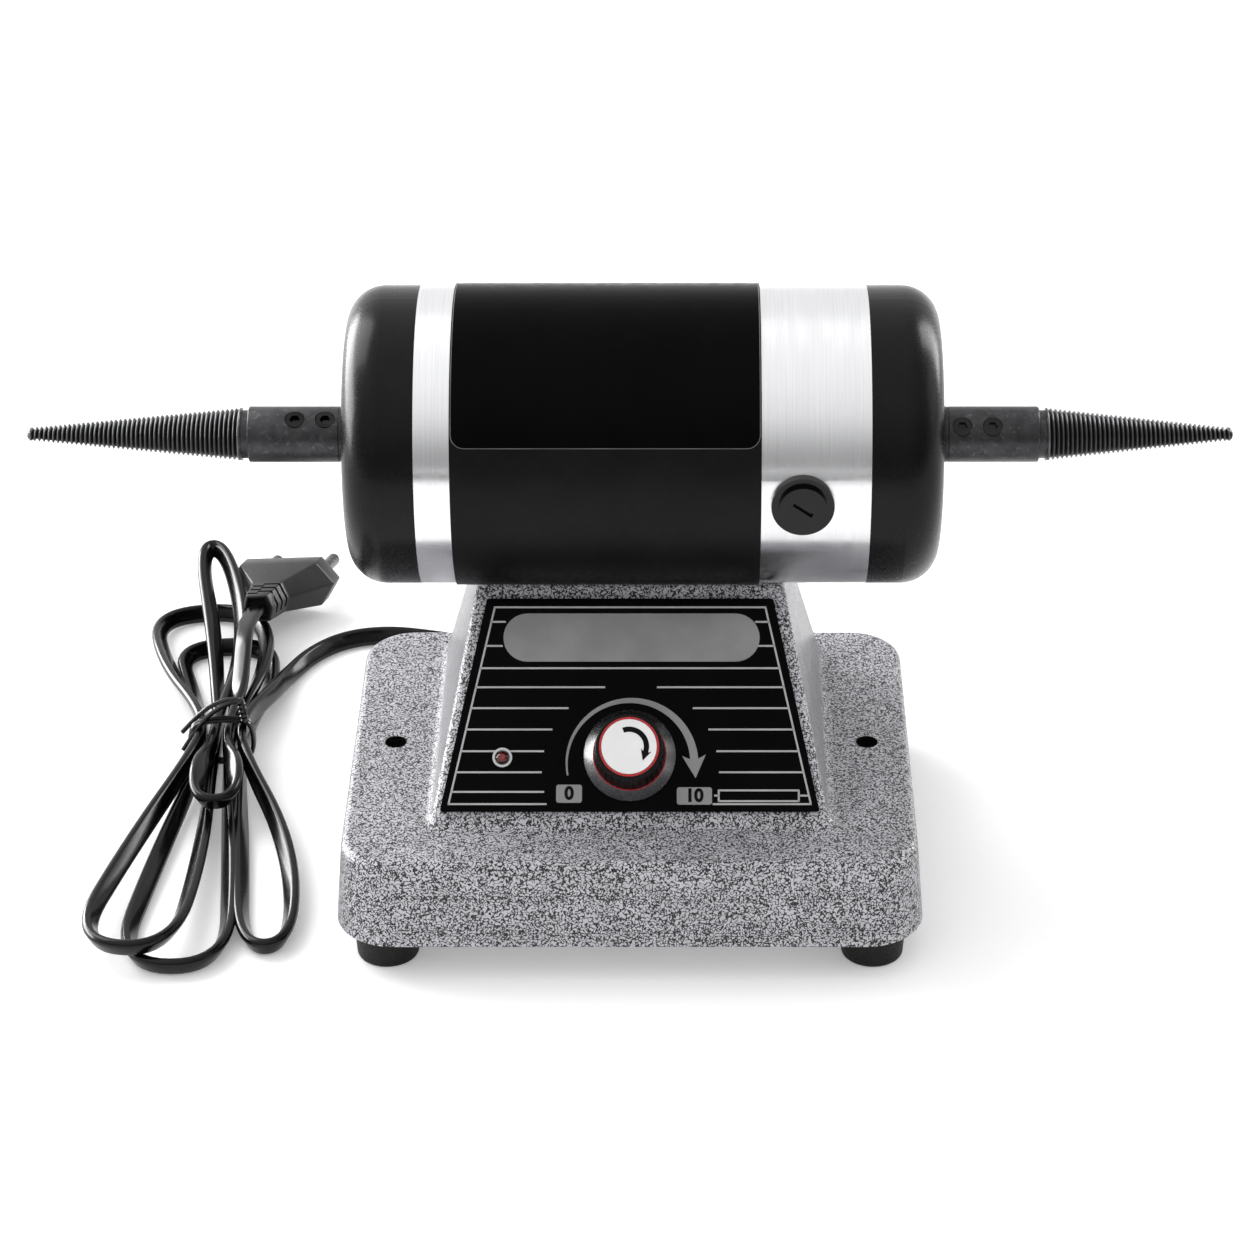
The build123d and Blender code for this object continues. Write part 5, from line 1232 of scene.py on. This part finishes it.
class BUFFER_OT_label(bpy.types.Operator):
    """Wraps the bare gloss label over the motor's band"""

    bl_idname = "buffer.label"
    bl_label = "Motor label"

    COLUMNS = 8
    ROWS = 72
    SIDE_MARGIN = 0.5 * MM
    EDGE_WIDTH = 0.22 * MM
    THICKNESS = 0.06 * MM
    SEAT = 0.02 * MM
    CORNER_ROWS = 10

    def execute(self, context):
        settings = context.scene.buffer_panel
        edge = self.sheet(settings, self.SEAT, self.EDGE_WIDTH)
        settle(edge, "label_edge", "base", "band_label", finish=bpy.data.materials["label_film"])
        label = self.sheet(settings, self.SEAT + self.THICKNESS, 0)
        settle(label, "motor_label", "base", "band_label", finish=bpy.data.materials["label_gloss"])
        return {"FINISHED"}

    def sheet(self, settings, seat, wider):
        """A curved sheet on the band, wider than the label by an edge."""
        radius = BAND_RADIUS + seat
        corner = settings.label_corner + wider
        start = settings.label_from - wider / radius
        arc = (settings.label_to - settings.label_from) * radius + 2 * wider
        half = (BAND_HIGH.x - BAND_LOW.x) / 2 - self.SIDE_MARGIN + wider
        middle = (BAND_HIGH.x + BAND_LOW.x) / 2
        deselect()
        bpy.ops.mesh.primitive_grid_add(x_subdivisions=self.COLUMNS, y_subdivisions=self.ROWS, size=1)
        label = bpy.context.object
        plain_rows = self.ROWS - 2 * self.CORNER_ROWS
        for vertex in label.data.vertices:
            row = round((vertex.co.y + 0.5) * self.ROWS)
            run = self.row_run(row, plain_rows, corner, arc)
            edge = min(run, arc - run)
            inset = corner - math.sqrt(max(corner**2 - max(corner - edge, 0) ** 2, 0))
            angle = start + run / radius
            vertex.co = (
                middle + vertex.co.x * 2 * (half - inset),
                AXIS_Y - radius * math.cos(angle),
                AXIS_Z + radius * math.sin(angle),
            )
        close_up(label)
        thicken(label, self.THICKNESS)
        smooth(label)
        return label

    def row_run(self, row, plain_rows, corner, arc):
        """How far along the label a row lies, with more rows in the corners."""
        if row < self.CORNER_ROWS:
            share = row / self.CORNER_ROWS
            return corner * (1 - math.cos(share * math.pi / 2))
        if row > self.ROWS - self.CORNER_ROWS:
            share = (self.ROWS - row) / self.CORNER_ROWS
            return arc - corner * (1 - math.cos(share * math.pi / 2))
        return corner + (arc - 2 * corner) * (row - self.CORNER_ROWS) / plain_rows


class BUFFER_OT_lamp(bpy.types.Operator):
    """Puts the red core in the lamp"""

    bl_idname = "buffer.lamp"
    bl_label = "Lamp core"

    CORE_RADIUS = 1.15 * MM
    CORE_SIDES = 24
    CORE_LIFT = 1.2 * MM
    CORE_HEIGHT = 1.6 * MM
    CORE_TOP_SHARE = 0.7

    def execute(self, context):
        core = new_disc(self.CORE_SIDES, self.CORE_RADIUS)
        edit(core)
        draw_out((0, 0, self.CORE_HEIGHT), (self.CORE_TOP_SHARE, self.CORE_TOP_SHARE, 1))
        close_up(core)
        place(core, on_panel(*LAMP_SPOT, self.CORE_LIFT))
        settle(core, "lamp_core", "base", "lamp_glass", finish=bpy.data.materials["lamp_core_red"])
        return {"FINISHED"}


# Plain finishes by slot: colour, second colour, grain, roughness range, metallic, relief, specular level
PLAIN = {
    "cover_steel": ((0.5, 0.5, 0.51), (0.42, 0.42, 0.43), 1.2, (0.3, 0.5), 1.0, 0.005),
    "foot_rubber": ((0.006, 0.006, 0.006), (0.01, 0.01, 0.01), 0.6, (0.5, 0.7), 0.0, 0.02, 0.25),
    "fastener_steel": ((0.5, 0.5, 0.51), (0.4, 0.4, 0.4), 0.8, (0.25, 0.4), 1.0, 0.005),
    "panel_plastic": ((0.001, 0.001, 0.0012), (0.0018, 0.0018, 0.002), 2.5, (0.14, 0.26), 0.0, 0.002, 0.03),
    "lamp_metal": ((0.5, 0.5, 0.51), (0.42, 0.42, 0.43), 0.6, (0.1, 0.2), 1.0),
    "pot_metal": ((0.55, 0.55, 0.55), (0.45, 0.45, 0.45), 0.6, (0.25, 0.4), 1.0),
    "knob_metal": ((0.15, 0.15, 0.153), (0.125, 0.125, 0.128), 0.5, (0.22, 0.32), 1.0),
    "knob_plastic": ((0.002, 0.002, 0.0022), (0.004, 0.004, 0.0043), 0.4, (0.26, 0.4), 0.0, 0.006, 0.16),
    "knob_red": ((0.55, 0.01, 0.014), (0.46, 0.008, 0.012), 0.5, (0.2, 0.32)),
    "knob_white": ((0.9, 0.9, 0.9), (0.87, 0.87, 0.87), 0.8, (0.3, 0.45), 0.0, 0.0, 0.4),
    "board_green": ((0.02, 0.1, 0.035), (0.03, 0.13, 0.05), 2.0, (0.3, 0.45), 0.0, 0.01),
    "sink_aluminium": ((0.6, 0.6, 0.61), (0.5, 0.5, 0.51), 0.8, (0.3, 0.45), 1.0, 0.01),
    "capacitor_plastic": ((0.02, 0.025, 0.1), (0.03, 0.035, 0.13), 1.0, (0.2, 0.35)),
    "standoff_brass": ((0.6, 0.42, 0.16), (0.5, 0.34, 0.12), 0.6, (0.25, 0.4), 1.0),
    "band_label": ((0.0025, 0.0025, 0.003), (0.0045, 0.0045, 0.005), 1.5, (0.34, 0.46), 0.0, 0.004, 0.13),
    "cap_black": ((0.0012, 0.0012, 0.0014), (0.0024, 0.0024, 0.0027), 0.7, (0.22, 0.3), 0.0, 0.001, 0.18),
    "bearing_steel": ((0.65, 0.65, 0.66), (0.58, 0.58, 0.59), 0.6, (0.1, 0.2), 1.0),
    "magnet_ferrite": ((0.05, 0.05, 0.055), (0.08, 0.08, 0.085), 0.8, (0.5, 0.7), 0.0, 0.02),
    "core_steel": ((0.3, 0.3, 0.31), (0.22, 0.22, 0.23), 0.5, (0.35, 0.5), 1.0, 0.01),
    "winding_copper": ((0.55, 0.2, 0.07), (0.42, 0.14, 0.05), 0.5, (0.25, 0.4), 1.0, 0.03),
    "brush_carbon": ((0.02, 0.02, 0.02), (0.035, 0.035, 0.035), 0.5, (0.5, 0.7), 0.0, 0.01),
    "brush_plastic": ((0.002, 0.002, 0.002), (0.004, 0.004, 0.004), 0.6, (0.12, 0.2), 0.0, 0.0, 0.28),
    "cord_plastic": ((0.0015, 0.0015, 0.0018), (0.003, 0.003, 0.0033), 0.5, (0.14, 0.24), 0.0, 0.0, 0.25),
    "plug_plastic": ((0.008, 0.008, 0.009), (0.012, 0.012, 0.013), 0.6, (0.28, 0.42), 0.0, 0.004, 0.35),
    "pin_metal": ((0.13, 0.13, 0.135), (0.09, 0.09, 0.095), 0.6, (0.15, 0.3), 1.0),
    "tie_wire": ((0.002, 0.002, 0.002), (0.004, 0.004, 0.004), 0.4, (0.15, 0.28)),
    "spindle_steel": ((0.02, 0.02, 0.021), (0.03, 0.03, 0.031), 0.5, (0.1, 0.18), 1.0, 0.002),
}
# Print and trim that differ from their slot, in the same way
INKS = {
    "cap_ink": ((0.003, 0.003, 0.003), (0.005, 0.005, 0.005), 0.5, (0.55, 0.65), 0.0, 0.0, 0.1),
    "digit_black": ((0.003, 0.003, 0.003), (0.005, 0.005, 0.005), 0.7, (0.5, 0.6), 0.0, 0.0, 0.1),
    "label_gloss": ((0.001, 0.001, 0.0012), (0.0018, 0.0018, 0.002), 3.0, (0.16, 0.28), 0.0, 0.002, 0.03),
    "label_film": ((0.16, 0.16, 0.165), (0.1, 0.1, 0.105), 1.2, (0.3, 0.4)),
    "lamp_core_red": ((0.3, 0.035, 0.035), (0.16, 0.012, 0.012), 0.3, (0.2, 0.4)),
}


class BUFFER_OT_finishes(bpy.types.Operator):
    """Gives every solid that shows its finish"""

    bl_idname = "buffer.finishes"
    bl_label = "Finishes"

    VEIN_DETAIL = 1.5
    VEIN_ROUGHNESS = 0.4
    VEIN_RANGE = (0.04, 0.09)
    VEIN_RELIEF = 0.06 * MM
    VEIN_RELIEF_SHARE = 0.5
    DRIFT_GRAIN = 9.0 * MM
    DRIFT_DETAIL = 2.0
    DRIFT_COLOUR = (0.53, 0.524, 0.556)
    ENAMEL_ROUGH = (0.4, 0.24)
    ENAMEL_SPECULAR = 0.35
    NOISE_MIDDLE = 0.5
    BOLT_ASIDE = 65.2 * MM
    BOLT_RANGE = (3.02 * MM, 3.12 * MM)
    # Painted shade: the inside of the two bolt holes is coloured near black
    BOLT_HOLE_SHADE_COLOUR = (0.006, 0.006, 0.006)
    # Two grains of the tube's brushing: size, and its shares along the axis and round it
    BRUSH_FINE = (0.3 * MM, (1.0, 0.01, 0.01))
    BRUSH_BROAD = (2.5 * MM, (1.0, 0.15, 0.15))
    STEEL_COLOURS = ((0.79, 0.793, 0.808), (0.84, 0.84, 0.855))
    STEEL_ROUGH = (0.22, 0.27)
    STEEL_ANISOTROPY = 0.75
    QUARTER_TURN_SHARE = 0.25
    GLASS_RIPPLE = 0.8 * MM
    GLASS_COLOURS = ((0.97, 0.9, 0.89), (1.0, 0.95, 0.94))
    GLASS_ROUGH = (0.02, 0.08)
    GLASS_INDEX = 1.49

    def execute(self, context):
        finishes = {slot: speckled(f"{slot}_finish", *values) for slot, values in PLAIN.items()}
        for name, values in INKS.items():
            speckled(name, *values)
        finishes["hammertone"] = self.hammered_enamel(context.scene.buffer_enamel)
        finishes["tube_steel"] = self.brushed_steel()
        finishes["lamp_glass"] = self.lamp_glass()
        for row in frame["record"]["subparts"]:
            node = frame["nodes"][row["node"]]
            node.data.materials.clear()
            node.data.materials.append(finishes[row["material_slot"]])
        return {"FINISHED"}

    def hammered_enamel(self, settings):
        """Pale enamel broken by dark winding veins, with a painted shade inside the two bolt holes."""
        finish, tree, shader = new_finish("hammered_enamel")
        flow = grain_noise(tree, settings.vein, self.VEIN_DETAIL, roughness=self.VEIN_ROUGHNESS)
        worms = maths(tree, "ABSOLUTE", maths(tree, "SUBTRACT", flow, self.NOISE_MIDDLE))
        veins = spread(tree, worms, *self.VEIN_RANGE)
        tone = spread(tree, grain_noise(tree, self.DRIFT_GRAIN, self.DRIFT_DETAIL), *NOISE_RANGE)
        pale = blend_colours(tree, tone, solid(settings.pale), solid(self.DRIFT_COLOUR))
        enamel = blend_colours(tree, veins, solid(settings.dark), pale)
        inputs = {
            # The bolt holes take a painted shade
            "Base Color": blend_colours(tree, self.bolt_hole_shade(tree), enamel, solid(self.BOLT_HOLE_SHADE_COLOUR)),
            "Roughness": spread(tree, veins, 0.0, 1.0, *self.ENAMEL_ROUGH),
            "Normal": bump(tree, veins, self.VEIN_RELIEF, self.VEIN_RELIEF_SHARE),
            "Specular IOR Level": self.ENAMEL_SPECULAR,
        }
        feed(tree, shader, inputs)
        return finish

    def bolt_hole_shade(self, tree):
        """A share that is whole inside the two bolt holes, where the enamel takes a painted shade."""
        where = add_node(tree, "ShaderNodeTexCoord", {}).outputs["Object"]
        parts = add_node(tree, "ShaderNodeSeparateXYZ", {"Vector": where}).outputs
        off = maths(tree, "SUBTRACT", maths(tree, "ABSOLUTE", parts["X"]), self.BOLT_ASIDE)
        spot = add_node(tree, "ShaderNodeCombineXYZ", {"X": off, "Y": parts["Y"]}).outputs["Vector"]
        return spread(tree, vector_maths(tree, "LENGTH", spot)["Value"], *self.BOLT_RANGE, 1.0, 0.0)

    def brushed_steel(self):
        """Bright steel brushed round the tube, so that its lines show along the axis."""
        finish, tree, shader = new_finish("brushed_steel")
        fine, broad = (
            grain_noise(tree, size, stretch=shares) for size, shares in (self.BRUSH_FINE, self.BRUSH_BROAD)
        )
        tone = spread(tree, fine, *NOISE_RANGE)
        round_axis = add_node(tree, "ShaderNodeTangent", {}, direction_type="RADIAL", axis="X")
        inputs = {
            "Base Color": blend_colours(tree, tone, *map(solid, self.STEEL_COLOURS)),
            "Roughness": spread(tree, broad, *NOISE_RANGE, *self.STEEL_ROUGH),
            "Tangent": round_axis.outputs["Tangent"],
            "Anisotropic": self.STEEL_ANISOTROPY,
            "Anisotropic Rotation": self.QUARTER_TURN_SHARE,
            "Metallic": 1.0,
        }
        feed(tree, shader, inputs)
        return finish

    def lamp_glass(self):
        """Clear lens with a little tint and ripple."""
        finish, tree, shader = new_finish("lamp_glass")
        ripple = grain_noise(tree, self.GLASS_RIPPLE)
        tint = spread(tree, ripple, *NOISE_RANGE)
        inputs = {
            "Base Color": blend_colours(tree, tint, *map(solid, self.GLASS_COLOURS)),
            "Roughness": spread(tree, ripple, *NOISE_RANGE, *self.GLASS_ROUGH),
            "Transmission Weight": 1.0,
            "IOR": self.GLASS_INDEX,
        }
        feed(tree, shader, inputs)
        return finish


OPERATORS = [
    BUFFER_OT_stage,
    BUFFER_OT_finishes,
    BUFFER_OT_tie,
    BUFFER_OT_plug,
    BUFFER_OT_cord,
    BUFFER_OT_spindles,
    BUFFER_OT_knob,
    BUFFER_OT_panel_print,
    BUFFER_OT_label,
    BUFFER_OT_lamp,
]


class BUFFER_PT_sidebar(bpy.types.Panel):
    """Lists the steps that dress the machine"""

    bl_idname = "BUFFER_PT_sidebar"
    bl_label = "Bench buffer"
    bl_space_type = "VIEW_3D"
    bl_region_type = "UI"
    bl_category = "Buffer"

    def draw(self, context):
        for step in OPERATORS:
            self.layout.operator(step.bl_idname)
        for name, group in SETTINGS.items():
            box = self.layout.box()
            for setting in group.__annotations__:
                box.prop(getattr(context.scene, name), setting)


def register():
    for name, group in SETTINGS.items():
        bpy.utils.register_class(group)
        setattr(bpy.types.Scene, name, PointerProperty(type=group))
    for step in OPERATORS:
        bpy.utils.register_class(step)
    bpy.utils.register_class(BUFFER_PT_sidebar)


def unregister():
    bpy.utils.unregister_class(BUFFER_PT_sidebar)
    for step in reversed(OPERATORS):
        bpy.utils.unregister_class(step)
    for name, group in reversed(SETTINGS.items()):
        delattr(bpy.types.Scene, name)
        bpy.utils.unregister_class(group)


def main():
    register()
    for step in OPERATORS:
        family, name = step.bl_idname.split(".")
        getattr(getattr(bpy.ops, family), name)()


if __name__ == "__main__":
    main()
